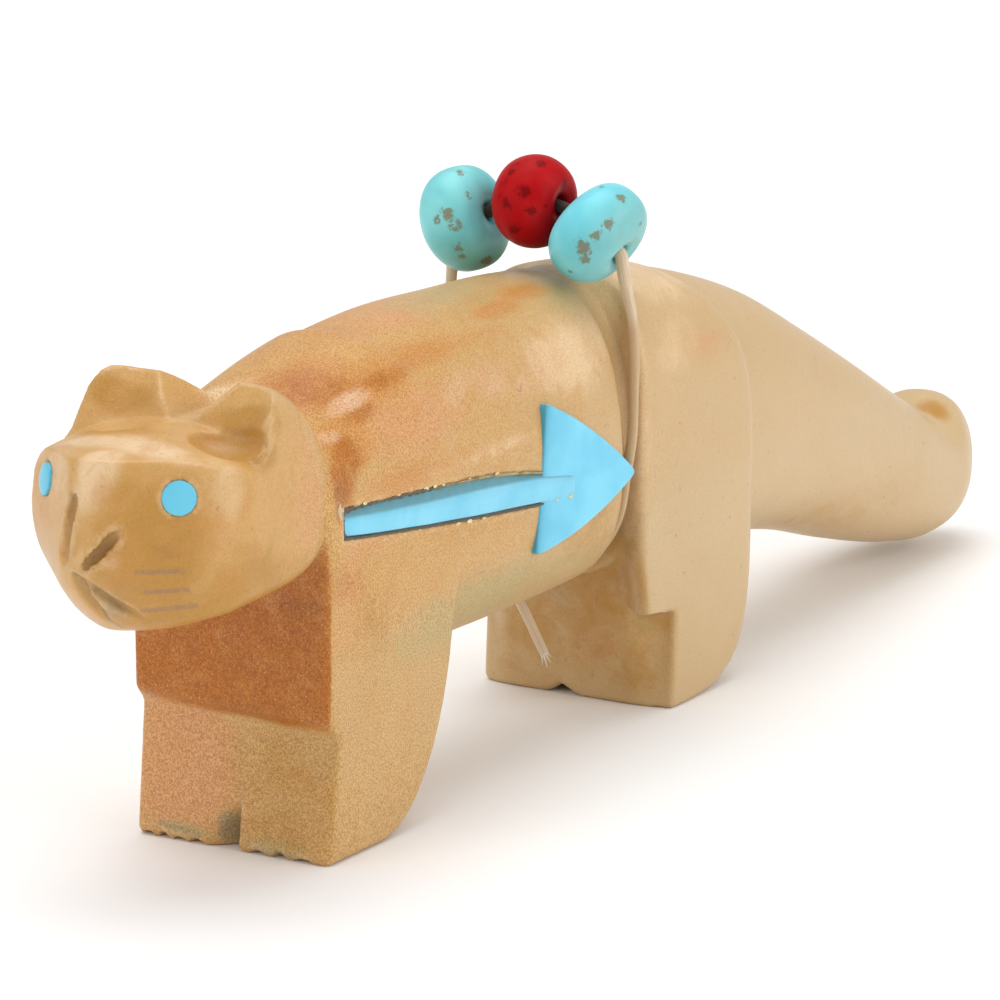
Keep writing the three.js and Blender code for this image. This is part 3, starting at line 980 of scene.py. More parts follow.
@dataclass(frozen=True)
class TurquoiseFinish:
    """Turquoise with soft clouds, small brown matrix specks and a waxy polish."""

    base: Colour = (0.16, 0.58, 0.74)
    light: Colour = (0.24, 0.69, 0.84)
    matrix: Colour = (0.22, 0.15, 0.05)
    # Darker blue of the painted shade.
    painted_shade_blue: Colour = (0.12, 0.27, 0.33)
    dust: Colour = (0.75, 0.80, 0.72)
    gloss: float = 0.30
    pits: float = 0.03

    def material(self, name: str) -> bpy.types.Material:
        """Builds the turquoise.

        Clouds mix the two blues. A stored number lays painted shade in a darker blue, and the
        stored number `matrix` with fine noise lays brown specks that are pitted.

        Args:
            name: Name of the material.

        Returns:
            The material.
        """
        recipe = Recipe(name)
        colour = recipe.mix(recipe.ramp(recipe.noise(2.2, 2, 0.5, 0.3), 0.3, 0.7), self.base, self.light)
        # Painted shade in the darker blue, as strong as the stored number, a little uneven.
        uneven_shade = recipe.math("ADD", recipe.swing(recipe.noise(0.7, 3, 0.6), 0.5), 0.95)
        wear_and_painted_light = recipe.math("MULTIPLY", recipe.marked("wear_and_painted_light"), uneven_shade, clamp=True)
        colour = recipe.mix(wear_and_painted_light, colour, self.painted_shade_blue)
        matrix = recipe.marked("matrix")
        fine = recipe.swing(recipe.noise(0.2, 4, 0.6, 0.6), 1.5)
        spread = recipe.swing(recipe.noise(0.6, 3, 0.6, 0.6), 1.0)
        broken = recipe.times(recipe.ramp(matrix, 0.0, 0.25), recipe.math("ADD", fine, spread))
        specks = recipe.ramp(recipe.math("ADD", matrix, broken), 0.38, 0.72)
        colour = recipe.lay(self.matrix, specks, 0.78, colour)
        colour = recipe.lay(self.dust, recipe.ramp(recipe.noise(0.11, 2, 0.6), 0.66, 0.76), 0.16, colour)
        satin = recipe.math("MULTIPLY_ADD", recipe.noise(0.6, 3, 0.6), 0.12, self.gloss - 0.06)
        rough = recipe.math("MULTIPLY_ADD", specks, 0.35, satin)
        recipe.shade(Base_Color=colour, Roughness=rough, IOR=1.5, Specular_IOR_Level=0.3)
        if self.pits:
            dents = recipe.times(recipe.noise(0.35, 3, 0.6), 0.25)
            recipe.relief(recipe.math("SUBTRACT", dents, specks), self.pits, 0.6)
        return recipe.material


@dataclass(frozen=True)
class CoralFinish:
    """Red coral with darker blotches and a rosy satin bloom."""

    red: Colour = (0.42, 0.004, 0.006)
    # Dark red of the blotches, also laid as painted shade on the underside.
    dark: Colour = (0.075, 0.002, 0.003)
    rose: Colour = (0.55, 0.020, 0.024)
    blots: tuple[tuple[Place, float], ...] = (
        ((0.62, 22.64, 24.12), 0.3), ((0.53, 21.51, 23.14), 0.35), ((-0.21, 21.28, 22.6), 0.3),
        ((0.85, 21.55, 22.41), 0.3), ((0.07, 21.45, 21.53), 0.35), ((1.36, 23.29, 23.23), 0.3),
        ((-0.32, 21.94, 23.84), 0.25))

    def material(self, name: str) -> bpy.types.Material:
        """Builds the coral: red clouded with rose, dark blotches and a satin polish.

        Blotches lie where the stored number `matrix`, broken up by noise, is high, and here and
        there by chance. Another stored number lays painted shade on the underside.

        Args:
            name: Name of the material.

        Returns:
            The material.
        """
        recipe = Recipe(name)
        colour = recipe.mix(recipe.ramp(recipe.noise(2.6, 3, 0.5), 0.45, 0.72), self.red, self.rose)
        matrix = recipe.marked("matrix")
        fine = recipe.swing(recipe.noise(0.3, 4, 0.62, 0.6), 1.8)
        broken = recipe.times(recipe.ramp(matrix, 0.0, 0.3), fine)
        placed = recipe.ramp(recipe.math("ADD", matrix, broken), 0.3, 0.9)
        chance = recipe.ramp(recipe.noise(0.7, 4, 0.6, 0.4), 0.6, 0.76)
        colour = recipe.lay(self.dark, recipe.math("MAXIMUM", placed, chance), 0.65, colour)
        # Painted shade on the underside.
        colour = recipe.lay(self.dark, recipe.marked("wear_and_painted_light"), 0.8, colour)
        rough = recipe.math("MULTIPLY_ADD", recipe.noise(0.8, 3, 0.6), 0.2, 0.26)
        recipe.shade(Base_Color=colour, Roughness=rough, IOR=1.5, Specular_IOR_Level=0.06)
        recipe.relief(recipe.noise(0.6, 4, 0.6), 0.03, 0.5)
        return recipe.material


@dataclass(frozen=True)
class SinewFinish:
    """Dry sinew: pinkish ivory fibres with ochre between them."""

    ivory: Colour = (0.82, 0.68, 0.52)
    ochre: Colour = (0.66, 0.47, 0.28)
    tip: Colour = (0.90, 0.83, 0.70)
    dust: Colour = (0.60, 0.40, 0.20)
    shade: Colour = (0.06, 0.04, 0.025)

    def material(self) -> bpy.types.Material:
        """Builds the sinew: long fibres from noise that is read round the strand.

        The stored numbers `end`, `dusty` and `shaded` make it paler, browner and darker.

        Returns:
            The material.
        """
        recipe = Recipe("dry_sinew")
        around = recipe.node("ShaderNodeCombineXYZ")
        recipe.feed(around.inputs["X"], recipe.times(recipe.marked("around"), 0.004))
        spread = recipe.vector("ADD", around.outputs["Vector"], recipe.stretched((0.08, 0.08, 0.08)))
        fibres = recipe.noise(0.35, 3, 0.65, 0.2, spread)
        colour = recipe.mix(recipe.ramp(fibres, 0.42, 0.62), self.ochre, self.ivory)
        colour = recipe.lay(self.ivory, recipe.ramp(recipe.noise(1.3, 3), 0.35, 0.7), 0.5, colour)
        colour = recipe.lay(self.tip, recipe.marked("end"), 0.7, colour)
        colour = recipe.lay(self.dust, recipe.marked("dusty"), 0.85, colour)
        colour = recipe.mix(recipe.marked("shaded"), colour, self.shade)
        recipe.shade(Base_Color=colour, Roughness=0.55, Specular_IOR_Level=0.4, Sheen_Weight=0.15)
        recipe.relief(fibres, 0.05, 0.8)
        return recipe.material


@dataclass(frozen=True)
class ResinFinish:
    """Old inlay glue: near black where it is deep, mostly at the left end, with painted shadow
    under the strip, yellow in crumbs and chalky at one end.
    """

    yellow: Colour = (0.72, 0.55, 0.16)
    pale: Colour = (0.80, 0.70, 0.42)
    # Near black: deep glue, and painted shadow under the strip.
    dark: Colour = (0.09, 0.075, 0.05)
    chalk: Colour = (0.60, 0.44, 0.30)

    def material(self) -> bpy.types.Material:
        """Builds the glue: yellow clouds, darkened, partly as painted shadow, and whitened by two
        stored numbers.

        Returns:
            The material.
        """
        recipe = Recipe("old_resin")
        colour = recipe.mix(recipe.ramp(recipe.noise(0.25, 3, 0.6), 0.4, 0.62), self.yellow, self.pale)
        uneven = recipe.swing(recipe.noise(0.5, 3, 0.6), 0.5)
        deep = recipe.ramp(recipe.math("ADD", recipe.marked("dark"), uneven), 0.2, 0.75)
        colour = recipe.mix(deep, colour, self.dark)
        colour = recipe.lay(self.chalk, recipe.marked("chalk"), 0.85, colour)
        rough = recipe.math("MULTIPLY_ADD", recipe.noise(0.3, 3, 0.6), 0.3, 0.3)
        recipe.shade(Base_Color=colour, Roughness=rough, Specular_IOR_Level=0.5)
        recipe.relief(recipe.noise(0.2, 4, 0.6), 0.05, 0.7)
        return recipe.material


# The stone

LEFT_CHEEK: tuple[Place, Place] = ((1.2, -9.1, 17.9), (0.648, -0.747, 0.150))
RIGHT_CHEEK: tuple[Place, Place] = ((-0.95, -9.2, 17.9), (-0.60, -0.78, 0.150))
EYE_ACROSS, EYE_ALONG, EYE_UP = 3.053, -7.81, 16.46


class Facing(Enum):
    """Which way the surface has to face to take a wash."""

    FRONT = (0.0, -1.0, 0.0)
    LEFT = (1.0, 0.0, 0.0)


# Washes of stain, and of painted light where a comment says so: each row holds a middle, the
# reach along the three axes, the strength and, where the surface has to face one way, that way.
# The rows of a stain go by region: head, neck and shoulder, back and flank, chest and front paws,
# then groove, hips and tail.
WASHES: dict[Stain, tuple[tuple, ...]] = {
    Stain.PALE: (
        # The wash at (0.4, -7.3, 18.1) is a painted highlight along the brow's edge.
        ((0.3, -9.2, 17.6), (0.9, 1.2, 2.3), 0.85), ((0.4, -7.3, 18.1), (4.2, 0.9, 0.6), 0.8),
        ((-2.0, -8.4, 16.8), (1.4, 1.6, 1.4), 0.4), ((3.9, -6.4, 16.6), (1.0, 0.9, 1.6), 0.45),
        ((0.7, -3.3, 19.2), (1.2, 1.4, 1.0), 0.5), ((-0.6, 0.8, 18.7), (2.2, 1.8, 1.4), 1.0),
        ((3.9, 19.8, 17.0), (1.5, 3.8, 1.9), 0.7), ((1.5, 28.5, 18.8), (3.0, 3.8, 1.8), 0.6),
        ((4.4, 9.0, 14.45), (0.8, 8.0, 0.35), 0.4), ((2.8, 0.5, 1.9), (2.2, 1.4, 1.5), 0.25, Facing.FRONT),
        # These two rows paint light into the shade of the groove in front of the hips.
        ((4.2, 24.3, 13.5), (0.8, 0.75, 6.4), 0.6), ((-4.2, 24.3, 13.5), (0.8, 0.75, 6.4), 0.6),
        ((4.6, 27.5, 16.2), (1.2, 2.2, 1.4), 0.4), ((1.5, 44.0, 17.6), (2.5, 9.0, 1.6), 0.35),
        ((1.5, 56.6, 7.5), (1.2, 0.6, 0.6), 0.7),
    ),
    Stain.ROSE: (
        ((4.0, -6.9, 14.6), (1.2, 1.6, 1.4), 0.35), ((4.7, -1.6, 15.2), (0.6, 1.3, 3.4), 0.45),
        ((0.4, 10.0, 19.9), (2.6, 4.0, 0.9), 0.5), ((4.3, 6.6, 16.9), (1.3, 4.4, 1.6), 0.75),
        ((4.5, 3.2, 13.0), (0.7, 2.0, 1.5), 0.4), ((-2.6, 0.5, 3.0), (2.9, 1.4, 3.3), 1.0, Facing.FRONT),
        ((4.77, 1.6, 10.5), (0.5, 1.2, 3.0), 0.4, Facing.LEFT), ((4.5, 30.0, 15.4), (1.4, 2.8, 1.4), 0.3),
    ),
    Stain.OLIVE: (
        ((1.04, 15.21, 19.86), (2.2, 4.6, 0.8), 0.45), ((2.4, 21.4, 18.9), (2.2, 2.2, 1.0), 0.4),
        ((4.0, 12.0, 8.0), (1.6, 9.0, 1.6), 0.75), ((3.2, 0.5, 4.2), (2.2, 1.2, 1.3), 0.35, Facing.FRONT),
        ((2.0, 0.3, 0.4), (1.6, 1.2, 0.5), 0.8, Facing.FRONT),
        ((-2.3, 0.3, 0.5), (1.5, 1.2, 0.5), 0.7, Facing.FRONT),
        ((3.32, 24.82, 7.59), (0.7, 0.9, 0.9), 0.95), ((3.67, 26.82, 3.87), (0.8, 0.9, 0.6), 0.8),
    ),
    Stain.ORANGE: (
        ((-3.6, -8.0, 14.6), (1.6, 1.6, 2.4), 0.35), ((2.6, -8.0, 16.6), (0.9, 0.9, 0.9), 0.5),
        ((1.9, 3.2, 18.7), (2.4, 2.9, 1.2), 1.1), ((3.2, 5.6, 18.5), (1.2, 2.4, 1.0), 1.0),
        ((3.0, 8.9, 18.8), (1.2, 3.4, 0.65), 0.75), ((4.1, 2.2, 16.9), (1.1, 1.5, 1.5), 1.0),
        ((-0.8, 6.0, 19.6), (2.4, 4.2, 0.9), 0.5), ((4.75, 5.2, 14.7), (0.8, 3.6, 0.7), 0.65),
        ((4.75, 9.5, 14.6), (0.8, 3.6, 0.5), 0.35), ((2.2, 16.4, 19.2), (0.6, 2.4, 0.4), 0.8),
        ((1.8, 19.4, 19.4), (0.7, 2.0, 0.4), 0.75), ((3.0, 13.6, 18.7), (0.8, 2.6, 0.5), 0.45),
        ((1.4, 26.5, 3.0), (2.0, 3.2, 2.0), 0.3, Facing.FRONT),
    ),
    Stain.GOLD: (
        ((2.2, -8.6, 14.4), (2.6, 2.2, 2.9), 0.95), ((3.0, -7.4, 11.6), (3.4, 2.4, 1.5), 0.9),
        ((4.3, -5.2, 12.2), (1.8, 2.8, 2.2), 0.95), ((1.6, -9.0, 16.3), (1.1, 1.0, 1.2), 0.6),
        ((3.05, -7.81, 16.46), (0.95, 0.95, 0.95), 0.9), ((4.1, -4.54, 17.61), (1.3, 0.9, 0.7), 0.9),
        ((3.2, -4.8, 17.9), (1.6, 0.8, 0.6), 0.9), ((-1.6, -5.6, 18.3), (2.4, 0.8, 0.7), 0.8),
        ((3.3, -3.66, 18.7), (1.5, 0.6, 0.8), 1.0), ((-2.67, -3.45, 18.94), (1.7, 0.6, 0.9), 1.0),
        ((4.5, -3.6, 12.0), (1.2, 3.6, 1.6), 0.7), ((4.6, 8.0, 11.6), (0.8, 5.0, 1.0), 0.3),
        ((4.5, 20.5, 9.5), (1.0, 3.0, 1.6), 0.5), ((2.6, 0.5, 2.8), (3.4, 1.4, 3.2), 0.48, Facing.FRONT),
        ((4.77, 3.0, 9.0), (0.5, 1.8, 4.0), 0.35, Facing.LEFT),
        ((2.4, 26.5, 6.6), (4.5, 3.2, 3.0), 0.7, Facing.FRONT),
        ((2.2, 26.5, 3.6), (4.5, 3.2, 3.4), 0.5, Facing.FRONT),
        ((-2.0, 26.5, 4.0), (3.5, 3.2, 4.0), 0.5, Facing.FRONT), ((1.27, 57.6, 6.7), (1.0, 0.8, 0.6), 0.85),
        ((2.0, 45.0, 4.6), (2.5, 9.0, 1.8), 0.3),
    ),
    Stain.OCHRE: (
        ((2.0, 2.8, 18.5), (2.0, 2.4, 0.9), 0.6), ((3.35, 6.0, 18.5), (0.6, 1.9, 0.45), 0.6),
        ((3.8, 3.7, 17.6), (0.6, 1.2, 0.5), 0.65), ((4.4, 1.8, 16.4), (0.6, 0.9, 1.1), 0.8),
        ((4.7, 1.0, 15.2), (0.5, 0.8, 1.4), 0.85), ((0.0, 0.0, 9.2), (9.0, 1.5, 4.5), 1.25, Facing.FRONT),
        ((0.0, 1.0, 11.4), (5.5, 2.2, 1.2), 0.7), ((-2.9, 0.5, 3.4), (1.6, 1.4, 1.6), 0.35, Facing.FRONT),
    ),
    Stain.BROWN: (
        ((2.9, -8.1, 14.6), (1.5, 1.1, 0.7), 0.2), ((0.75, -9.6, 14.6), (0.62, 0.6, 0.75), 0.2),
        ((-1.4, -5.7, 18.35), (1.4, 0.6, 0.5), 0.08), ((4.7, 0.8, 14.8), (0.5, 0.5, 0.9), 0.45),
        ((0.0, 0.0, 5.75), (6.0, 1.2, 0.5), 0.25, Facing.FRONT),
        ((3.2, 0.0, 11.5), (2.0, 1.2, 2.2), 0.3, Facing.FRONT),
        ((3.0, 26.6, 6.2), (1.6, 2.0, 1.0), 0.25, Facing.FRONT),
    ),
    Stain.GREY: (
        ((-0.6, -9.8, 15.2), (0.3, 0.6, 1.6), 0.55), ((1.0, -9.6, 12.3), (1.5, 0.9, 1.3), 0.35),
        ((-0.3, 0.3, 0.7), (0.5, 1.6, 0.9), 0.7),
    ),
    # Painted sheen: soft pinkish highlights on the nose, the shoulder and the flank.
    Stain.BLUSH: (
        ((1.2, -9.4, 14.1), (0.35, 0.5, 0.45), 0.7), ((3.3, 3.5, 18.0), (0.42, 1.5, 0.52), 0.8),
        ((3.75, 1.4, 17.0), (0.4, 0.8, 0.3), 0.5), ((4.0, 15.5, 17.0), (1.2, 4.0, 1.2), 0.35),
        ((4.0, 12.2, 17.1), (1.0, 3.4, 1.0), 0.4),
    ),
}


@dataclass
class ArrowLine:
    """Middle line of the arrow's shaft along the flank, with a slight sag."""

    start: tuple[float, float] = (1.165, 13.64)
    end: tuple[float, float] = (18.71, 11.68)
    sag: float = 0.24
    half: float = 0.425
    knots: tuple[float, ...] = (0, 0.33, 0.65, 0.85, 1)
    face_rise: tuple[float, ...] = (0, 0.17, 0.32, 0.26, 0.05)
    wear: tuple[float, ...] = (0.26, 0.4, 0.34, 0.12, 0.02)
    floor: float = 4.35

    def share(self, y: Array) -> Array:
        """How far along the shaft a place is, from nought at the nock to one at the head."""
        return (y - self.start[0]) / (self.end[0] - self.start[0])

    def height(self, y: Array) -> Array:
        """Height of the middle line: a straight run less the sag times twice t times one less t."""
        t = self.share(y)
        return self.start[1] + (self.end[1] - self.start[1]) * t - 2 * self.sag * t * (1 - t)

    def face_top(self, y: Array) -> Array:
        """How far above the middle line the flat face reaches, most at two thirds of the way."""
        return self.half + smooth_curve(self.knots, self.face_rise, self.share(y))[0]

    def upper(self, y: Array) -> Array:
        """How far above the middle line the shaft's rubbed upper edge lies."""
        return self.face_top(y) + smooth_curve(self.knots, self.wear, self.share(y))[0]

    def pocket(self, at: Spots) -> Array:
        """Field of the groove that the shaft lies in, with a ragged upper wall.

        Args:
            at: Places across, along and up.

        Returns:
            The field.
        """
        x, y, z = at
        aside = z - self.height(y)
        ragged = np.sin(6.1 * y) + np.sin(13.7 * y + 1) + np.sin(23.3 * y + 4)
        above = aside - self.upper(y) - 0.015 * ragged
        under = -self.half - 0.05 - aside
        ends = np.maximum(self.start[0] - 0.1 - y, y - self.end[0])
        return np.maximum(np.maximum(above, under), np.maximum(self.floor - x, ends))


@dataclass
class StoneCarving:
    """The carved animal: barrel and tail, two leg blocks and a head, all one stone.

    A station is a section of the trunk: its place in hundredths of the length, its middle, top
    and underside in hundredths of the back's height, its half width in hundredths of the body's
    width, and how square it is. A plane of the head is a point, a direction and the radius of
    its edge. A gouge is a start, an end, a width, a depth and the direction that it opens to.
    Hollows and chips are middles and half sizes, an eye's hole is a middle, a direction and a
    radius, and a roof is a half width and how square it is. Profiles are along and up.
    """

    stations: tuple[tuple[float, ...], ...] = (
        (-4.0, 75.0, 83.0, 67.0, 40.0, 2.2),
        (0.8, 70.0, 88.5, 52.0, 48.0, 2.4),
        (7.0, 63.0, 96.0, 31.0, 49.5, 2.5),
        (15.0, 60.0, 100.0, 30.0, 49.4, 2.4),
        (23.0, 59.0, 99.4, 29.5, 49.0, 2.35),
        (30.0, 57.0, 98.0, 30.0, 48.0, 2.4),
        (32.5, 56.2, 97.0, 30.0, 47.0, 2.3),
        (35.0, 55.0, 96.4, 29.5, 46.5, 2.2),
        (39.6, 54.0, 94.0, 28.0, 45.5, 2.2),
        (46.8, 51.5, 88.0, 26.0, 45.0, 2.3),
        (53.4, 48.0, 80.0, 24.0, 43.0, 2.3),
        (60.0, 42.0, 68.5, 19.0, 40.0, 2.3),
        (67.0, 33.5, 55.5, 11.5, 37.0, 2.3),
        (74.0, 24.5, 42.0, 5.2, 34.0, 2.3),
        (78.2, 20.5, 34.8, 3.1, 31.0, 2.3),
        (81.0, 20.0, 36.8, 4.2, 28.0, 2.3),
        (83.2, 20.0, 33.5, 7.4, 20.0, 2.2),
        (84.7, 19.5, 27.0, 12.0, 11.0, 2.1),
        (85.3, 19.0, 21.5, 16.5, 4.0, 2.0),
    )
    chest_edge: float = 0.42
    groove_front: float = 23.25
    groove_back: float = 24.65
    head_shift: float = 0.3
    face_planes: tuple[tuple[Place, Place, float], ...] = (
        (*LEFT_CHEEK, 0.9),
        (*RIGHT_CHEEK, 0.6),
        ((0.25, -9.15, 18.0), (0.05, -0.929, 0.371), 0.25),
        ((4.6, -4.0, 12.0), (0.30, 0.05, -1.0), 0.7),
        ((-4.6, -4.0, 12.2), (-0.35, 0.15, -1.0), 0.7),
        ((2.88, -8.0, 11.7), (0.7, -0.9, -0.8), 0.6),
        ((-2.72, -8.2, 13.02), (-0.9, -0.8, -0.7), 0.9),
        ((0.0, -10.27, 13.4), (0.0, -1.0, -0.5), 0.5),
        ((0.0, -8.0, 9.92), (0.0, 0.1, -1.0), 0.8),
    )
    brow_hollows: tuple[tuple[Place, Place], ...] = (
        ((3.4, -5.0, 18.3), (1.7, 1.1, 0.85)),
        ((-2.1, -5.0, 18.65), (1.8, 1.1, 0.8)),
    )
    gouges: tuple[tuple[Place, Place, float, float, Place], ...] = (
        ((0.05, -9.98, 13.75), (1.34, -9.39, 15.28), 0.64, 0.2, (0.45, -0.88, 0.15)),
        ((-0.95, -9.95, 13.7), (-0.4, -9.55, 16.6), 0.72, 0.36, (-0.6, -0.78, 0.15)),
        ((-0.4, -10.2, 13.6), (3.1, -8.4, 10.8), 0.5, 0.42, (0.5, -0.8, -0.5)),
        ((-0.5, -10.1, 13.6), (0.5, -8.9, 10.9), 0.6, 0.5, (-0.3, -0.9, -0.5)),
    )
    chips: tuple[tuple[Place, Place], ...] = (
        ((-4.1, 0.1, 0.0), (0.26, 0.34, 0.2)),
        ((-3.35, 0.1, 0.0), (0.2, 0.4, 0.26)),
        ((-2.6, 0.1, 0.0), (0.24, 0.3, 0.17)),
        ((-1.75, 0.1, 0.0), (0.3, 0.34, 0.22)),
        ((1.15, 0.1, 0.0), (0.34, 0.3, 0.2)),
        ((2.2, 0.1, 0.0), (0.3, 0.36, 0.26)),
        ((3.3, 0.1, 0.0), (0.36, 0.3, 0.18)),
    )
    eyes: tuple[tuple[Place, Place, float], ...] = (
        ((EYE_ACROSS, EYE_ALONG, EYE_UP), (0.616, -0.788, 0.0), 0.63),
        ((-EYE_ACROSS, EYE_ALONG, EYE_UP), (-0.616, -0.788, 0.0), 0.60),
    )
    eye_depth: float = 1.05
    chest_front: tuple[tuple[float, float], ...] = (
        (0.15, 0), (0, 0.2), (0, 21.6), (6.55, 21.6), (9.54, 14.0))
    elbow: tuple[float, float, float] = (3.93, 5.6, 10.4)
    ledge: float = 5.5
    chest_half: float = 4.77
    flank: float = 4.765
    hip: tuple[tuple[float, float], ...] = ((28.1, 20.4), (32.2, 18.0), (34.0, 15.2), (34.07, 11.6))
    heel: tuple[tuple[float, float], ...] = ((34.07, 6.4), (34.07, 1.6), (32.8, 0), (29.1, 0))
    hind_front: float = 24.27
    hips_half: float = 4.92
    chest_roof: tuple[float, float] = (4.81, 2.5)
    hips_roof: tuple[float, float] = (4.94, 3.0)
    toe_notch: tuple[Place, Place] = ((-0.2, 0, 1.95), (3.22, -3.864, -1.68))
    loin: tuple[float, ...] = (3.95, 11.2, 19.5, 6.6, 2.1)
    loin_middle: float = 23.9
    loin_reach: float = 1.6
    drum_middle: tuple[float, float] = (-4.8, 15.2)
    drum_radii: tuple[float, float] = (5.6, 5.16)
    drum_half: float = 4.8
    brow_line: tuple[tuple[float, float], ...] = (
        (-11, 17.6), (-9.8, 17.75), (-8, 18.1), (-5, 18.35), (-3, 18.45))
    ear_middles: tuple[float, float] = (3.15, -2.35)
    ear_half: float = 1.75
    ear_side: tuple[Place, Place] = ((-4.2, -3.9, 19.0), (-0.95, -0.1, 0.2))
    arrow: ArrowLine = field(default_factory=ArrowLine)

    def form(self, y: Array) -> list[Array]:
        """Middle, top, underside, half width and squareness of the trunk.

        Args:
            y: Places along the body.

        Returns:
            One array for each, read from smooth curves through the stations.
        """
        table = np.array(self.stations)
        sizes = np.array([BACK_HEIGHT, BACK_HEIGHT, BACK_HEIGHT, BODY_WIDTH, 100])
        return smooth_curve(table[:, 0] * FIGURE_LENGTH / 100, table[:, 1:] * sizes / 100, y)

    def trunk(self, at: Spots) -> Array:
        """Field of the barrel and the tail: an oval section that changes along the body."""
        middle, top, low, half, square = self.form(at[1])
        return rounded_section(at[0], at[2], half, middle, top, low, square)

    def roof(self, at: Spots, half: float, square: float) -> Array:
        """Field of the space under the back's line, upright below the trunk's widest level.

        Args:
            at: Places across, along and up.
            half: Half width of the space.
            square: Squareness of its section.

        Returns:
            The field.
        """
        middle, top, low, _, _ = self.form(at[1])
        return rounded_section(at[0], np.maximum(at[2], middle), half, middle, top + 0.03, low, square)

    def front_block(self, at: Spots) -> Array:
        """Field of the chest and the front legs.

        Seen from the side the block is upright in front and a quarter ellipse behind. Below
        the chest's ledge its front steps back and comes forward again to the toes, and its
        sides draw in a little towards the feet. Chips and the notch between the toes are cut.

        Args:
            at: Places across, along and up.

        Returns:
            The field.
        """
        x, y, z = at
        turn = np.linspace(0, -math.pi / 2, 15)
        middle, long, high = self.elbow
        behind = np.stack([middle + long * np.cos(turn), high + high * np.sin(turn)], axis=1)
        share = np.clip((4.0 - x) / 8.8, 0, 1)
        below = self.ledge - 0.045 * x - z
        step = ease((below + 0.55) / (0.85 + 0.1 * share))
        back = (0.8 - 0.2 * share) * step * np.clip(1 - (below - 0.3) / 4.9, 0, 1) ** 1.1
        side = outline_distance(np.vstack([self.chest_front, behind]),
                                y - back * np.clip(1 - y / 5, 0, 1), z)
        half = self.chest_half * (1 - 0.02 * np.maximum(0, 1 - z / 9))
        block = meet(side, np.abs(x) - half, self.chest_edge)
        for chip in self.chips:
            block = cut(block, scoop(at, *chip), 0.06)
        return cut(block, meet(-plane(at, *self.toe_notch), x - 0.28, 0.05), 0.14)

    def hind_block(self, at: Spots) -> Array:
        """Field of the hips and hind legs.

        Seen from the side the block is upright in front and rounded behind. Its front face
        slants from the belly to the toes, but at the outer corners the thigh stays upright
        and overhangs the paw.

        Args:
            at: Places across, along and up.

        Returns:
            The field.
        """
        x, y, z = at
        t = np.linspace(0, 1, 9)[:, None]
        front = [(self.hind_front, 0), (self.hind_front, self.hip[0][1])]
        corner = ease((np.abs(x + 0.2) - 2.9) / 1.8)
        thigh = 0.1 + 0.5 * np.clip((7.2 - z) / 3.0, 0, 1)
        paw = 3.35 + 0.65 * np.clip(z / 4.6, 0, 1)
        outer = thigh + (paw - thigh) * ease((4.62 - z) / 0.3)
        inner = 0.83 + 2.0 * ease((8.5 - z) / 8.5)
        back = inner + (outer - inner) * corner
        side = outline_distance(np.vstack([front, bezier(*self.hip, t), bezier(*self.heel, t)]),
                                y - back * np.clip(1 - (y - 25.5) / 6, 0, 1), z)
        half = self.hips_half * (1 - 0.01 * np.maximum(0, 1 - z / 9))
        block = meet(side, np.abs(x) - half, 0.3 + 0.35 * ease((y - 28.0) / 3.0))
        notch = meet((np.abs(x + 0.55 + 0.3 * z) - 0.8 + 1.8 * z) * 0.5, y - 28.2, 0.1)
        return cut(block, notch, 0.15)

    def head(self, at: Spots) -> Array:
        """Field of the head: a thick drum across the neck, planed to a face and cut to ears.

        The drum is round from the side, to the seventh power so that its sides are flat. What
        lies above the brow's line and in front of the ears is taken away, the ears' fronts
        bulge, and a valley parts them. Hollows, gouges and the eyes' holes are cut last.

        Args:
            at: Places across, along and up.

        Returns:
            The field.
        """
        x, y, z = at
        along, up = self.drum_middle
        round_side = np.hypot((y - along) / self.drum_radii[0], (z - up) / self.drum_radii[1])
        size = np.maximum((round_side ** 7 + np.abs(x / self.drum_half) ** 7) ** (1 / 7), 0.3)
        body = (size - 1) * 4.9
        for *side, edge in self.face_planes:
            body = meet(body, plane(at, *side), edge)
        aside = x - self.head_shift
        places, heights = zip(*self.brow_line)
        brow = smooth_curve(places, heights, y)[0]
        brow = brow - np.where(aside > 0, 1.25, 1.05) * (aside / self.drum_half) ** 2
        ears = (y + 3.95 - 0.5 * (z - 18.3) + 0.03 * aside ** 2) * 0.9
        rising = np.clip((z - 17.9) / 2.4, 0, 1)
        for middle in self.ear_middles:
            ears = ears - 0.95 * rising * np.maximum(0, 1 - ((x - middle) / self.ear_half) ** 2)
        body = cut(body, meet(brow - z, ears, 0.06), 0.1)
        body = cut(body, meet(brow - z, -plane(at, *self.ear_side), 0.25), 0.9)
        valley = (18.4 + 1.05 * np.maximum(np.abs(x - 0.45) - 0.45, 0) - z) * 0.7
        body = cut(body, valley, 0.1)
        for hollow in self.brow_hollows:
            body = cut(body, scoop(at, *hollow), 0.12)
        for gouge in self.gouges:
            body = cut(body, stroke(at, *gouge), 0.14)
        for eye in self.eyes:
            body = cut(body, bore(at, *eye, self.eye_depth), 0.04)
        return body

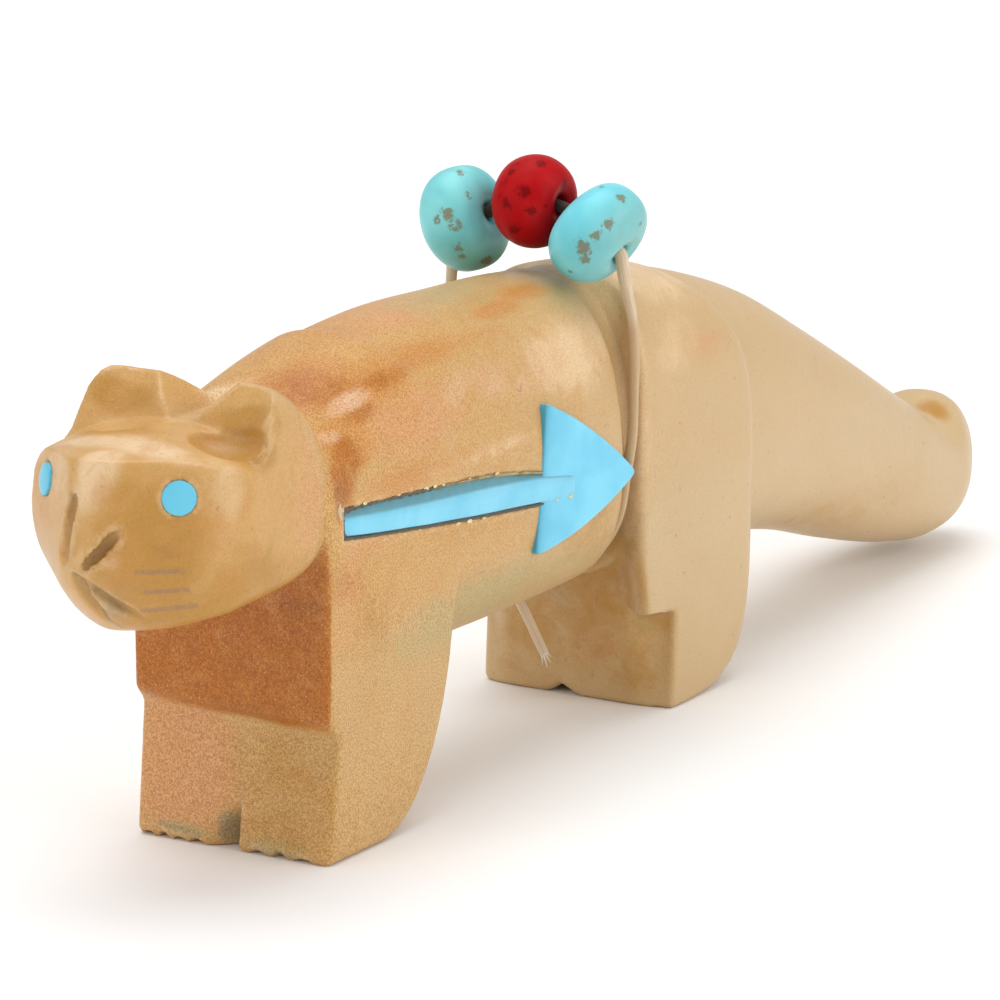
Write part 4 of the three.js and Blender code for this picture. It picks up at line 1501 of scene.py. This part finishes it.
    def shape(self, at: Spots) -> Array:
        """Field of the whole stone.

        The barrel ends at the groove and is joined to the chest, the trunk behind the groove is
        joined to the hips, and a thinner loin joins the two. The arrow's pocket is cut, the
        head is joined, and the tail and the soles are cut flat.

        Args:
            at: Places across, along and up.

        Returns:
            The field.
        """
        x, y, z = at
        trunk = self.trunk(at)
        barrel = meet(meet(trunk, y - self.groove_front, 0.45), -3.0 - y, 0.3)
        chest = meet(self.front_block(at), self.roof(at, *self.chest_roof), 0.3)
        fore = meet(join(barrel, chest, 0.7), np.abs(x) - self.flank, 0.15)
        hips = meet(self.hind_block(at), self.roof(at, *self.hips_roof), 0.5)
        hind = join(meet(trunk, self.groove_back - y, 0.3), hips, 0.5)
        near = np.abs(y - self.loin_middle) - self.loin_reach
        loin = meet(rounded_section(x, z, *self.loin), near, 0.1)
        body = join(join(fore, loin, 0.3), hind, 0.3)
        body = cut(body, np.maximum(self.arrow.pocket(at), 0.7 - y), 0.03)
        body = meet(join(body, self.head(at), 0.12), y - TAIL_END, 0.3)
        return np.maximum(body, -z)

    def lattice(self) -> list[Array]:
        """Planes of the lattice, closer at the head, the feet and the groove.

        Returns:
            Their places across, along and up.
        """
        coarse = 1.0
        return [
            Skin.spaced([(-5.3, 5.3, 0.155)], coarse),
            Skin.spaced([(-10.8, 1.6, 0.14), (1.6, 22.6, 0.26), (22.6, 25.4, 0.17),
                         (25.4, 34.6, 0.28), (34.6, 55.5, 0.4), (55.5, 62.6, 0.25)], coarse),
            Skin.spaced([(-0.3, 1.1, 0.13), (1.1, 10.2, 0.26), (10.2, 20.9, 0.145)], coarse),
        ]

    def build(self) -> list[bpy.types.Object]:
        """Draws the stone and stores its stains, painted sheen, grain, rubbed rims and hollows on it.

        A place is hollow where the field a little way out in the air is less than the way, and
        it is a rim where the field a little way into the stone is.

        Returns:
            The stone.
        """
        out, deep = 0.4, 0.3
        skin = Skin.draw(self.shape, self.lattice())
        stone = new_object("carved_stone", skin.corners, skin.faces.tolist())
        slope = slope_of(self.shape, skin.corners)[1]
        normal = slope / np.maximum(np.linalg.norm(slope, axis=1), 1e-6)[:, None]
        open_air = self.shape((skin.corners + out * normal).T) / out
        covered = -self.shape((skin.corners - deep * normal).T) / deep
        along = skin.corners[:, 1]
        # Hollows take painted shade in grey, and rims take pale wear with painted highlight.
        mark(stone, "hollow", np.clip(1 - open_air, 0, 1) ** 1.2 * np.where(along < -6, 0.5, 1.0))
        mark(stone, "rim", np.clip((0.93 - covered) / 0.25, 0, 1) * (along < 26))
        for name, strength in self.stains(skin.corners, normal).items():
            mark(stone, name, strength)
        dress(stone, StoneFinish().material(), "stone")
        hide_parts("stone_figure")
        return [stone]

    def stains(self, points: Array, normal: Array) -> dict[str, Array]:
        """Strength of each stain and painted light at points, from the washes, and of what runs along the
        body.

        A wash is at its strength at its middle and fades as e to the minus the cube of the
        scaled distance. Where it has a facing, it is also multiplied by how far the surface
        faces that way. Stains of one name take the strongest.

        Args:
            points: One row for each point.
            normal: Outward direction at each point.

        Returns:
            Strengths by the wash's name, stains and painted sheen alike, and those of the sand, the warmth
            and the grain.
        """
        along, up = points[:, 1], points[:, 2]
        strengths = {}
        for stain, washes in WASHES.items():
            strongest = np.zeros(len(points))
            for centre, reach, strength, *facing in washes:
                away = (((points - np.array(centre)) / np.array(reach)) ** 2).sum(axis=1)
                patch = strength * np.exp(-away ** 1.5)
                for way in facing:
                    patch = patch * ease((normal @ np.array(way.value) - 0.25) / 0.45)
                strongest = np.maximum(strongest, patch)
            strengths[stain.value] = strongest
        ledge = ease((up - 5.3 + 0.045 * points[:, 0]) / 0.5)
        strengths["ochre"] *= np.where((along < 1.2) & (up < 8), 0.2 + 0.8 * ledge, 1.0)
        runs = {
            "warm": ([-6, 6, 14, 20, 24, 34, 60], [1.0, 0.9, 0.7, 0.45, 0.25, 0.12, 0.15]),
            "sand": ([-6, 2, 14, 26, 60], [0.45, 0.3, 0.45, 0.85, 0.95]),
            "grain": ([-9, -3, 0, 8, 16, 26, 34], [0.16, 0.25, 0.85, 0.7, 0.45, 0.2, 0.1]),
        }
        for name, (places, values) in runs.items():
            strengths[name] = np.interp(along, places, values)
        strengths["warm"] -= 0.45 * ease((along + 1) / 2) * ease((11 - up) / 4)
        strengths["sand"] -= 0.3 * ease((8 - up) / 8)
        return strengths


# Inlays

@dataclass
class ArrowInlay:
    """Turquoise strip and pointed head let into the left flank.

    A crumb of glue is its place along, its way past the strip's edge and its size.
    """

    line: ArrowLine = field(default_factory=ArrowLine)
    shaft_blue: TurquoiseFinish = TurquoiseFinish(
        (0.18, 0.60, 0.80), (0.25, 0.68, 0.88), painted_shade_blue=(0.13, 0.32, 0.38), pits=0.0)
    head_blue: TurquoiseFinish = TurquoiseFinish(
        (0.16, 0.60, 0.82), (0.22, 0.69, 0.91), painted_shade_blue=(0.09, 0.40, 0.56), pits=0.0)
    face: float = 4.80
    head_face: float = 4.755
    corners: tuple[tuple[float, float], ...] = ((16.38, 15.6), (15.58, 9.3), (23.81, 11.2))
    bulges: tuple[float, ...] = (-0.05, 0.42, 0.3)
    inside: float = 4.0
    bed_face: float = 4.67
    lip_face: float = 4.785
    crumbs: tuple[Place, ...] = (
        (0.8, 0.02, 0.10), (1.75, 0.05, 0.05), (2.5, 0.08, 0.08), (5.0, 0.08, 0.05), (7.0, 0.08, 0.08),
        (7.7, 0.10, 0.07), (8.3, 0.06, 0.06), (10.3, 0.08, 0.05), (12.4, 0.08, 0.06),
        (9.4, -0.16, 0.07), (10.3, -0.14, 0.09), (11.4, -0.12, 0.07), (6.5, -0.14, 0.04),
        (18.3, 0.0, 0.07), (17.2, -0.06, 0.05))

    def outline(self, count: int = 26) -> Array:
        """Rim of the head in the flank's plane: three sides, each bowed outwards at its middle.

        A side is the straight run between its corners plus its outward direction times the
        bow times four t times one less t. The mean of each place and its neighbours blunts
        the corners.

        Args:
            count: Places on each side.

        Returns:
            One row of along and up for each place.
        """
        corners = np.array(self.corners)
        t = np.linspace(0, 1, count, endpoint=False)[:, None]
        sides = []
        for a, b, bulge in zip(corners, np.roll(corners, -1, axis=0), self.bulges):
            run = (b - a) / np.linalg.norm(b - a)
            outward = np.array([-run[1], run[0]])
            outward = outward * np.sign(outward @ ((a + b) / 2 - corners.mean(axis=0)))
            sides.append(a + (b - a) * t + outward * bulge * 4 * t * (1 - t))
        rim = np.vstack(sides)
        return (np.roll(rim, 1, axis=0) + 2 * rim + np.roll(rim, -1, axis=0)) / 4

    def shaft(self) -> bpy.types.Object:
        """Carries the strip's section along its line: flat face, rubbed upper edge with painted
        shade, blunt ends.

        Returns:
            The strip.
        """
        y = np.linspace(self.line.start[0], self.line.end[0], 90)
        t = self.line.share(y)
        upper = self.line.upper(y)
        low = -self.line.half
        face = self.face - 0.075 * np.exp(-(t / 0.05) ** 2) - 0.02 * np.exp(-((t - 1) / 0.02) ** 2)
        edge = self.line.face_top(y) - 0.03
        section = (
            (low, self.inside), (low, face - 0.14), (low + 0.03, face - 0.05), (low + 0.1, face - 0.01),
            (-0.1, face), (0.15, face), (edge - 0.12, face - 0.012), (edge, face - 0.05),
            ((edge + upper) / 2, face - 0.13), (upper, face - 0.22), (upper, self.inside))
        aside, out = (np.stack(np.broadcast_arrays(y, *part)[1:], axis=1) for part in zip(*section))
        blunt = np.ones(len(y))
        blunt[[0, -1]] = 0.9
        out[[0, -1], 1:-1] -= 0.05
        places = np.stack([out, np.repeat(y[:, None], len(section), axis=1),
                           self.line.height(y)[:, None] + aside * blunt[:, None]], axis=2)
        places[..., 2] += 0.008 * ripple(places, 3.4, 5)
        piece = Shell.rows(places).piece("arrow_shaft_stone", smooth_by=35)
        # Painted shade: the upper bevel, in the shadow of the stone's edge above, takes the darker blue.
        wear_and_painted_light = np.zeros(places.shape[:2])
        wear_and_painted_light[:, 7:] = 1.0
        wear_and_painted_light[:, 6] = 0.2
        weather(piece, wear_and_painted_light.ravel())
        dress(piece, self.shaft_blue.material("arrow_turquoise"), "turquoise_inlay")
        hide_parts("arrow_shaft")
        return piece

    def head(self) -> bpy.types.Object:
        """Fills the head's outline with rings that shrink to its middle, bevelled at the rim.

        Returns:
            The head.
        """
        rim = self.outline()
        middle = rim.mean(axis=0)
        shares = np.array([0.03, 0.3, 0.6, 0.85, 0.95, 0.985, 1.0, 1.0])[:, None]
        depth = np.array([0, 0, 0, 0, 0.004, 0.02, 0.07, 0.5])[:, None]
        flat = middle + shares[..., None] * (rim - middle)
        places = np.stack([self.head_face - depth + 0 * flat[..., 0], flat[..., 0], flat[..., 1]], axis=2)
        piece = Shell.rows(places).piece("arrow_head_stone", smooth_by=35)
        # Painted shade: the darker blue along the head's left side, next to the strip.
        inwards = np.maximum(places[..., 1] - np.interp(places[..., 2], [9.3, 15.6], [15.6, 16.4]), 0)
        weather(piece, (0.75 * np.exp(-inwards / 0.28) + 0.3 * np.exp(-inwards / 1.6)).ravel())
        dress(piece, self.head_blue.material("head_turquoise"), "turquoise_inlay")
        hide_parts("arrow_head")
        return piece

    def bed(self) -> Shell:
        """The glue under the strip: an uneven sheet with a proud lip along both edges.

        Returns:
            The sheet, closed behind.
        """
        y = np.linspace(self.line.start[0] - 0.14, self.line.end[0] - 1.5, 240)
        share = np.linspace(0, 1, 22)
        low, high = -self.line.half - 0.11, self.line.upper(y) + 0.07
        aside = low + (high[:, None] - low) * share
        along = np.repeat(y[:, None], len(share), axis=1)
        places = np.stack([self.bed_face + 0 * aside, along, self.line.height(y)[:, None] + aside], axis=2)
        rough = ripple(places, 0.5, 11)
        places[..., 0] += 0.02 * rough - 0.05 * (aside > 0.3)
        lip = self.lip_face - 0.12 * ease((y - 16.0) / 0.4)
        places[:, [0, 1, -2, -1], 0] = lip[:, None] + 0.01 * rough[:, [0, 1, -2, -1]]
        places[:, [0, -1], 2] += 0.02 * rough[:, [0, -1]]
        back = places[:, ::-1].copy()
        back[..., 0] = 4.2
        return Shell.rows(np.concatenate([places, back[:, [0, -1]]], axis=1))

    def glue(self) -> bpy.types.Object:
        """Beds the strip in old resin, with crumbs squeezed out and a chalky splinter.

        A crumb is a ball drawn out along the body, with waves laid over its radius.

        Returns:
            The resin.
        """
        bed = self.bed()
        turns = np.linspace(0, 2 * math.pi, 14, endpoint=False)
        turn, rise = np.meshgrid(turns, np.linspace(-1.45, 1.45, 9))
        ball = np.stack([np.cos(rise) * np.cos(turn), np.cos(rise) * np.sin(turn), np.sin(rise)], axis=2)
        shells = [bed]
        for along, off, size in self.crumbs:
            place = np.array([along])
            edge = self.line.upper(place) if off > 0 else -self.line.half
            centre = np.array([4.765, along, float(np.ravel(self.line.height(place) + edge)[0]) + off])
            lump = ball * np.array([0.4, 2.2, 1.0]) * size
            lump = lump * (1 + 0.2 * ripple(lump + centre, 0.25, 3)[..., None])
            shells.append(Shell.rows(centre + lump))
        splinter = ball * np.array([0.08, 0.16, 0.5])
        splinter = splinter * (1 + 0.25 * ripple(splinter, 0.5, 8)[..., None])
        shells.append(Shell.rows(np.array([4.72, 0.72, 14.3]) + splinter))
        whole = Shell.together(shells)
        piece = whole.piece("inlay_resin", smooth_by=60)
        _, along, up = whole.corners.T
        bedded = np.arange(len(along)) < len(bed.corners)
        # Darker under the strip's lower edge as painted shadow, and towards the left end as dark glue.
        under = ease((0.1 - (up - self.line.height(along))) / 0.3)
        left = ease((11.0 - along) / 9.0)
        dark = 0.55 + 0.45 * np.maximum(under * (0.5 + 0.5 * left), left)
        mark(piece, "dark", np.where(bedded, dark, 0.0))
        mark(piece, "chalk", ~bedded & (along < 1.1))
        dress(piece, ResinFinish().material(), "stone")
        return piece

    def build(self) -> list[bpy.types.Object]:
        """Builds the resin, the head and the strip."""
        return [self.glue(), self.head(), self.shaft()]


class Side(Enum):
    """Which side of the face an eye is on: its name, and the way across."""

    LEFT = ("left", 1.0)
    RIGHT = ("right", -1.0)


@dataclass
class EyeInlay:
    """Round turquoise plug, ground almost flush with the slanting face."""

    side: Side
    face_point: Place
    face_way: Place
    proud: float
    radius: float = 0.67
    turn: float = 38.0
    depth: float = 0.8
    blue: TurquoiseFinish = TurquoiseFinish((0.11, 0.51, 0.70), (0.15, 0.58, 0.77), pits=0.0)

    def build(self) -> list[bpy.types.Object]:
        """Builds the plug from rings round its axis.

        Each ring is the centre plus the radius's share times the cosine and sine of the turn,
        slid along the axis onto the plane of the face, plus a slight dome. The last ring lies
        deep in the pocket.

        Returns:
            The plug.
        """
        name, way = self.side.value
        angle = math.radians(self.turn)
        axis = np.array([way * math.sin(angle), -math.cos(angle), 0.0])
        across, up = np.array([math.cos(angle), way * math.sin(angle), 0.0]), np.array([0.0, 0.0, 1.0])
        centre = np.array([way * EYE_ACROSS, EYE_ALONG, EYE_UP])
        share = np.array([0.04, 0.25, 0.5, 0.72, 0.88, 0.95, 0.985, 1.0, 1.0])
        dome = np.array([0.05, 0.048, 0.04, 0.026, 0.012, 0.0, -0.02, -0.06, 0.0])
        turns = np.linspace(0, 2 * math.pi, 56, endpoint=False)[None, :, None]
        ray = np.cos(turns) * across + np.sin(turns) * up
        flat = centre + self.radius * share[:, None, None] * ray
        normal = np.array(self.face_way) / np.linalg.norm(self.face_way)
        slide = -((flat - np.array(self.face_point)) @ normal) / (axis @ normal)
        slide = slide + (self.proud + dome)[:, None]
        slide[-1] = -self.depth
        piece = Shell.rows(flat + slide[..., None] * axis).piece(f"eye_{name}_stone", smooth_by=50)
        weather(piece)
        dress(piece, self.blue.material(f"eye_{name}_turquoise"), "turquoise_inlay")
        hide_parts(f"eye_{name}")
        return [piece]


# Beads and tie

@dataclass
class Bead:
    """Squat hand-ground bead with a hole.

    A speck is a place and a size, and the bead takes painted shade towards one direction.
    """

    name: str
    node: str
    slot: str
    centre: Place
    way: Place
    radius: float
    material: Callable[[str], bpy.types.Material]
    specks: tuple[tuple[Place, float], ...]
    shade_way: Place
    seed: int
    half: float = 1.475
    hole: float = 0.45

    def build(self) -> bpy.types.Object:
        """Turns the bead's closed profile round its hole.

        The distance out is the hole's radius plus the bulge times a power of the cosine, and
        the distance along is half the thickness times a power of the sine, dimpled near the
        hole. Slow waves make it a little uneven.

        Returns:
            The bead.
        """
        t = np.linspace(-math.pi / 2, math.pi / 2, 41)
        out = self.hole + (self.radius - self.hole) * np.maximum(np.cos(t), 0) ** 0.8
        along = self.half * np.sign(np.sin(t)) * np.abs(np.sin(t)) ** 0.9
        along = along * (1 - 0.13 * np.exp(-((out - self.hole) / 0.32) ** 2))
        inner = np.linspace(along[-1], along[0], 10)[1:-1]
        out = np.concatenate([out, np.full(len(inner), self.hole)])
        along = np.concatenate([along, inner])
        way = np.array(self.way) / np.linalg.norm(self.way)
        side = np.cross(way, [0.0, 1.0, 0.0])
        side /= np.linalg.norm(side)
        up = np.cross(side, way)
        turns = np.linspace(0, 2 * math.pi, 72, endpoint=False)[None, :, None]
        ray = np.cos(turns) * side + np.sin(turns) * up
        places = np.array(self.centre) + out[:, None, None] * ray + along[:, None, None] * way
        swell = 0.045 * ripple(places, 3.2, self.seed) * np.clip((out[:, None] - self.hole) / 0.6, 0, 1)
        places = places + swell[..., None] * ray
        piece = Shell.rows(places, ring=True).piece(self.name)
        corners = places.reshape(-1, 3)
        matrix = np.zeros(len(corners))
        for spot, size in self.specks:
            away = np.linalg.norm(corners - np.array(spot), axis=1)
            matrix = np.maximum(matrix, np.exp(-(away / (0.93 * size)) ** 2))
        # Painted shade: the bead darkens towards that direction.
        shade_way = (corners - np.array(self.centre)) @ np.array(self.shade_way)
        weather(piece, np.clip(shade_way, 0, 1), matrix)
        dress(piece, self.material(self.name + "_finish"), self.slot)
        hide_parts(self.node)
        return piece


@dataclass
class SinewTie:
    """One strand of sinew through the beads and round the body, knotted under the belly."""

    level: float = 23.86
    thick: float = 0.26
    rim_form: tuple[float, float, float, float, float] = (11.2, 19.45, 6.6, 3.94, 2.1)
    knot_angle: float = -121.0
    free_end: float = 4.7
    frays: tuple[tuple[float, float], ...] = (
        (-0.5, 0.55), (-0.2, 0.8), (0.15, 0.7), (0.45, 0.5), (0.05, 0.35))
    shoulder: tuple[Place, ...] = ((4.22, 23.36, 20.1), (4.24, 23.5, 19.5), (4.34, 23.6, 18.8),
                                   (4.46, 23.72, 18.1), (4.5, 23.8, 17.4), (4.52, 23.86, 16.4),
                                   (4.52, 23.86, 14.6), (4.46, 23.86, 12.8), (4.16, 23.86, 11.0))

    def rim(self, degrees: Array, outset: float) -> Array:
        """Points just outside the groove's section at angles from the left flank.

        The half width and the reach up or down, each with the outset, are multiplied by the
        cosine and the sine raised to two over the squareness.

        Args:
            degrees: Angles.
            outset: Distance outside the section.

        Returns:
            One row for each angle.
        """
        middle, top, low, half, square = self.rim_form
        c, s = np.cos(np.radians(degrees)), np.sin(np.radians(degrees))
        reach = np.where(s > 0, top - middle, middle - low) + outset
        power = 2 / square
        return np.stack([(half + outset) * np.sign(c) * np.abs(c) ** power, self.level + 0 * c,
                         middle + reach * np.sign(s) * np.abs(s) ** power], axis=-1)

    def route(self, beads: Sequence[Bead]) -> Array:
        """Points that the strand follows from the knot round the body and back.

        Down each flank it lies in the groove, level with its sides, and under the belly it
        follows the groove's floor.

        Args:
            beads: The beads in order from the left.

        Returns:
            One row for each point.
        """
        left = self.rim(np.linspace(self.knot_angle + 10, -24, 7), 0.22)
        right = self.rim(np.linspace(204, 350 + self.knot_angle, 7), 0.22)
        sides = [np.array([(way * out, along, up) for out, along, up in self.shoulder]) for way in (1, -1)]
        shares = ((0.9, 0.6, -0.6), (0.6, -0.6), (0.6, -0.6, -0.9))
        through = [np.array(bead.centre) + share * bead.half * np.array(bead.way) / np.linalg.norm(bead.way)
                   for bead, row in zip(beads, shares) for share in row]
        knot = self.knot()
        return np.vstack([knot, left, sides[0][::-1], through, sides[1], right, knot])

    def knot(self) -> Array:
        """Middle of the knot under the belly."""
        return self.rim(np.array(self.knot_angle), 0.89) + np.array([0.0, 0.2, 0.0])

    def build(self, beads: Sequence[Bead]) -> bpy.types.Object:
        """Builds the strand, the knot and the frayed free end as one piece.

        Args:
            beads: The beads in order from the left.

        Returns:
            The tie.
        """
        path = drawn_through(self.route(beads), 420)
        t = np.linspace(0, 1, len(path))
        wide = self.thick - 0.05 * ease((19.6 - path[:, 2]) / 2.2) + 0.012 * np.sin(61 * t)
        strand = Shell.tube(path, wide * 1.08, wide * 0.88, 14)
        centre = self.knot()
        turn = np.linspace(0, 2 * math.pi, 90, endpoint=False)
        trefoil = np.stack([np.sin(turn) + 2 * np.sin(2 * turn), -np.sin(3 * turn) * 0.9,
                            np.cos(turn) - 2 * np.cos(2 * turn)], axis=1)
        loops = centre + trefoil * np.array([0.19, 0.26, 0.17])
        knot = Shell.tube(loops, 0.24 + 0 * turn, 0.2 + 0 * turn, 12, loops - centre, ring=True)
        reach = np.array([2.2, -0.2, -3.1])
        tip = centre + reach / np.linalg.norm(reach) * self.free_end
        bend = (centre + tip) / 2 + np.array([0, 0, self.thick])
        tail = drawn_through([centre, bend, tip], 40)
        along = np.linspace(0, 1, len(tail))
        end = Shell.tube(tail, self.thick - 0.05 * along, 0.21 - 0.03 * along, 12)
        shells = [strand, knot, end]
        run = tail[-1] - tail[-6]
        run /= np.linalg.norm(run)
        steps = np.linspace(0, 1, 9)[:, None]
        thin = 1.05 - steps[:, 0]
        for spread, length in self.frays:
            aside = np.cross(run, [0.0, 1.0, 0.0]) * spread + np.array([0, 0.3 * spread, 0.1 * spread])
            fibre = tail[-2] + aside * 0.22 + (run * steps + aside * 0.6 * steps ** 2) * length
            shells.append(Shell.tube(fibre, 0.085 * thin, 0.07 * thin, 8))
        whole = Shell.together(shells)
        piece = whole.piece("sinew_strand")
        across, _, up = whole.corners.T
        number = np.arange(len(up))
        strung = number < len(strand.corners)
        mark(piece, "end", number >= sum(len(shell.corners) for shell in (strand, knot, end)))
        mark(piece, "around", np.concatenate([shell.around() for shell in shells]))
        mark(piece, "dusty", strung * ease((18.3 - up) / 1.2))
        mark(piece, "shaded", strung * ease((2.6 - np.abs(across)) / 0.3) * (up > 15))
        dress(piece, SinewFinish().material(), "sinew")
        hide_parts("sinew_tie")
        return piece


@dataclass
class BeadedTie:
    """The three beads and the strand that holds them."""

    level: float = 23.223
    near_blue: TurquoiseFinish = TurquoiseFinish(
        (0.16, 0.66, 0.76), (0.25, 0.78, 0.87), painted_shade_blue=(0.22, 0.36, 0.27), gloss=0.33)
    far_blue: TurquoiseFinish = TurquoiseFinish(
        (0.15, 0.57, 0.60), (0.25, 0.72, 0.74), painted_shade_blue=(0.12, 0.27, 0.20), gloss=0.36)
    coral: CoralFinish = CoralFinish()

    def beads(self) -> list[Bead]:
        """Sizes, places and finishes of the beads.

        Returns:
            The beads from the left.
        """
        near_specks = (
            ((3.58, 22.82, 23.4), 0.2), ((4.5, 22.73, 23.09), 0.28), ((4.48, 21.71, 22.16), 0.32),
            ((4.13, 21.32, 21.7), 0.27), ((3.62, 21.09, 21.2), 0.42), ((3.66, 21.3, 20.66), 0.27),
            ((2.81, 21.53, 20.02), 0.2), ((4.95, 23.3, 21.94), 0.2), ((2.4, 25.3, 21.6), 0.4),
            ((3.4, 24.8, 22.9), 0.3))
        far_specks = (
            ((-3.32, 22.56, 23.36), 0.3), ((-2.59, 22.03, 22.53), 0.22), ((-2.96, 21.18, 21.91), 0.38),
            ((-2.59, 21.3, 21.41), 0.33), ((-2.63, 21.36, 20.45), 0.3), ((-2.6, 21.6, 20.1), 0.25),
            ((-2.08, 22.72, 19.76), 0.4), ((-3.44, 21.0, 21.63), 0.22), ((-3.9, 25.2, 22.0), 0.4),
            ((-4.4, 22.6, 22.6), 0.3))
        # The last direction of each bead is where painted shade darkens it.
        return [
            Bead("bead_sky_near", "bead_turquoise_left", "turquoise_bead", (3.127, self.level, 21.382),
                 (0.809, 0.0, -0.588), 2.25, self.near_blue.material, near_specks,
                 (0.35, 0.0, -0.12), seed=21),
            Bead("bead_coral_red", "bead_coral", "coral_bead", (0.0, self.level, 22.385),
                 (1.0, 0.0, 0.0), 1.975, self.coral.material, self.coral.blots,
                 (0.15, 0.1, -0.35), seed=22),
            Bead("bead_sky_far", "bead_turquoise_right", "turquoise_bead", (-3.422, self.level, 21.323),
                 (0.951, 0.0, 0.309), 2.25, self.far_blue.material, far_specks,
                 (0.0, 0.02, -0.3), seed=23),
        ]

    def build(self) -> list[bpy.types.Object]:
        """Builds the beads and then the strand through them."""
        beads = self.beads()
        return [bead.build() for bead in beads] + [SinewTie().build(beads)]


# Studio

@dataclass
class Studio:
    """Camera, pale floor and soft lights."""

    azimuth: float = 31.385
    elevation: float = 13.866
    target: Place = (5.153, 12.0, 12.497)
    distance: float = 242.83
    lens: float = 216.0
    aim: Place = (0, 12, 10)
    floor_reach: float = 1500.0
    lights: tuple[tuple[str, Place, float, float], ...] = (
        ("light_over", (-100, 60, 700), 600, 2.75),
        ("light_right", (330, 60, 160), 220, 0.37),
        ("light_left", (-160, -300, 140), 200, 0.17),
    )
    sky: float = 0.62

    def camera(self) -> None:
        """Stands the camera at the photograph's viewing angle."""
        a, e = math.radians(self.azimuth), math.radians(self.elevation)
        back = Vector((math.sin(a) * math.cos(e), -math.cos(a) * math.cos(e), math.sin(e)))
        right = Vector((math.cos(a), math.sin(a), 0))
        turn = Matrix((right, back.cross(right), back)).transposed().to_4x4()
        data = bpy.data.cameras.new("camera")
        data.lens = self.lens
        data.clip_start, data.clip_end = 0.01, 10.0
        camera = bpy.data.objects.new("camera", data)
        spot = Vector(to_frame(self.target)) + back * self.distance * MM
        camera.matrix_world = Matrix.Translation(spot) @ turn
        bpy.context.scene.collection.objects.link(camera)
        bpy.context.scene.camera = camera

    def floor(self) -> None:
        """Lays a wide, flat, pale floor."""
        recipe = Recipe("paper_floor")
        recipe.shade(Base_Color=recipe.mix(recipe.noise(30.0, 2), (0.96, 0.96, 0.96), (0.98, 0.98, 0.98)),
                     Roughness=0.9, Specular_IOR_Level=0.2)
        corners = self.floor_reach * np.array([(-1, -1, 0), (1, -1, 0), (1, 1, 0), (-1, 1, 0)])
        floor = new_object("floor", corners, [(0, 1, 2, 3)], smooth=False)
        floor.data.materials.append(recipe.material)

    def lamp(self, name: str, place: Place, size: float, power: float) -> None:
        """Hangs a square soft light that faces the figure.

        Args:
            name: Name of the light.
            place: Its place in millimetres.
            size: Length of its side in millimetres.
            power: Its power in watts.
        """
        data = bpy.data.lights.new(name, "AREA")
        data.shape, data.size, data.energy = "SQUARE", size * MM, power
        lamp = bpy.data.objects.new(name, data)
        spot = Vector(to_frame(place))
        way = Vector(to_frame(self.aim)) - spot
        lamp.matrix_world = Matrix.Translation(spot) @ way.to_track_quat("-Z", "Y").to_matrix().to_4x4()
        bpy.context.scene.collection.objects.link(lamp)

    def build(self) -> None:
        """Sets up the whole studio."""
        self.camera()
        self.floor()
        for light in self.lights:
            self.lamp(*light)
        world = bpy.data.worlds.new("studio")
        world.use_nodes = True
        background = world.node_tree.nodes["Background"]
        background.inputs["Color"].default_value = (1, 1, 1, 1)
        background.inputs["Strength"].default_value = self.sky
        bpy.context.scene.world = world
        bpy.context.scene.view_settings.view_transform = "Standard"


def main() -> None:
    """Builds the pieces in order and reports each."""
    logging.basicConfig(level=logging.INFO, format="%(name)s %(message)s")
    Studio().build()
    left = EyeInlay(Side.LEFT, *LEFT_CHEEK, 0.03)
    right = EyeInlay(Side.RIGHT, *RIGHT_CHEEK, 0.10, radius=0.63)
    for maker in (StoneCarving(), left, right, ArrowInlay(), BeadedTie()):
        for piece in maker.build():
            log.info("%s: %d corners", piece.name, len(piece.data.vertices))


if __name__ == "__main__":
    main()
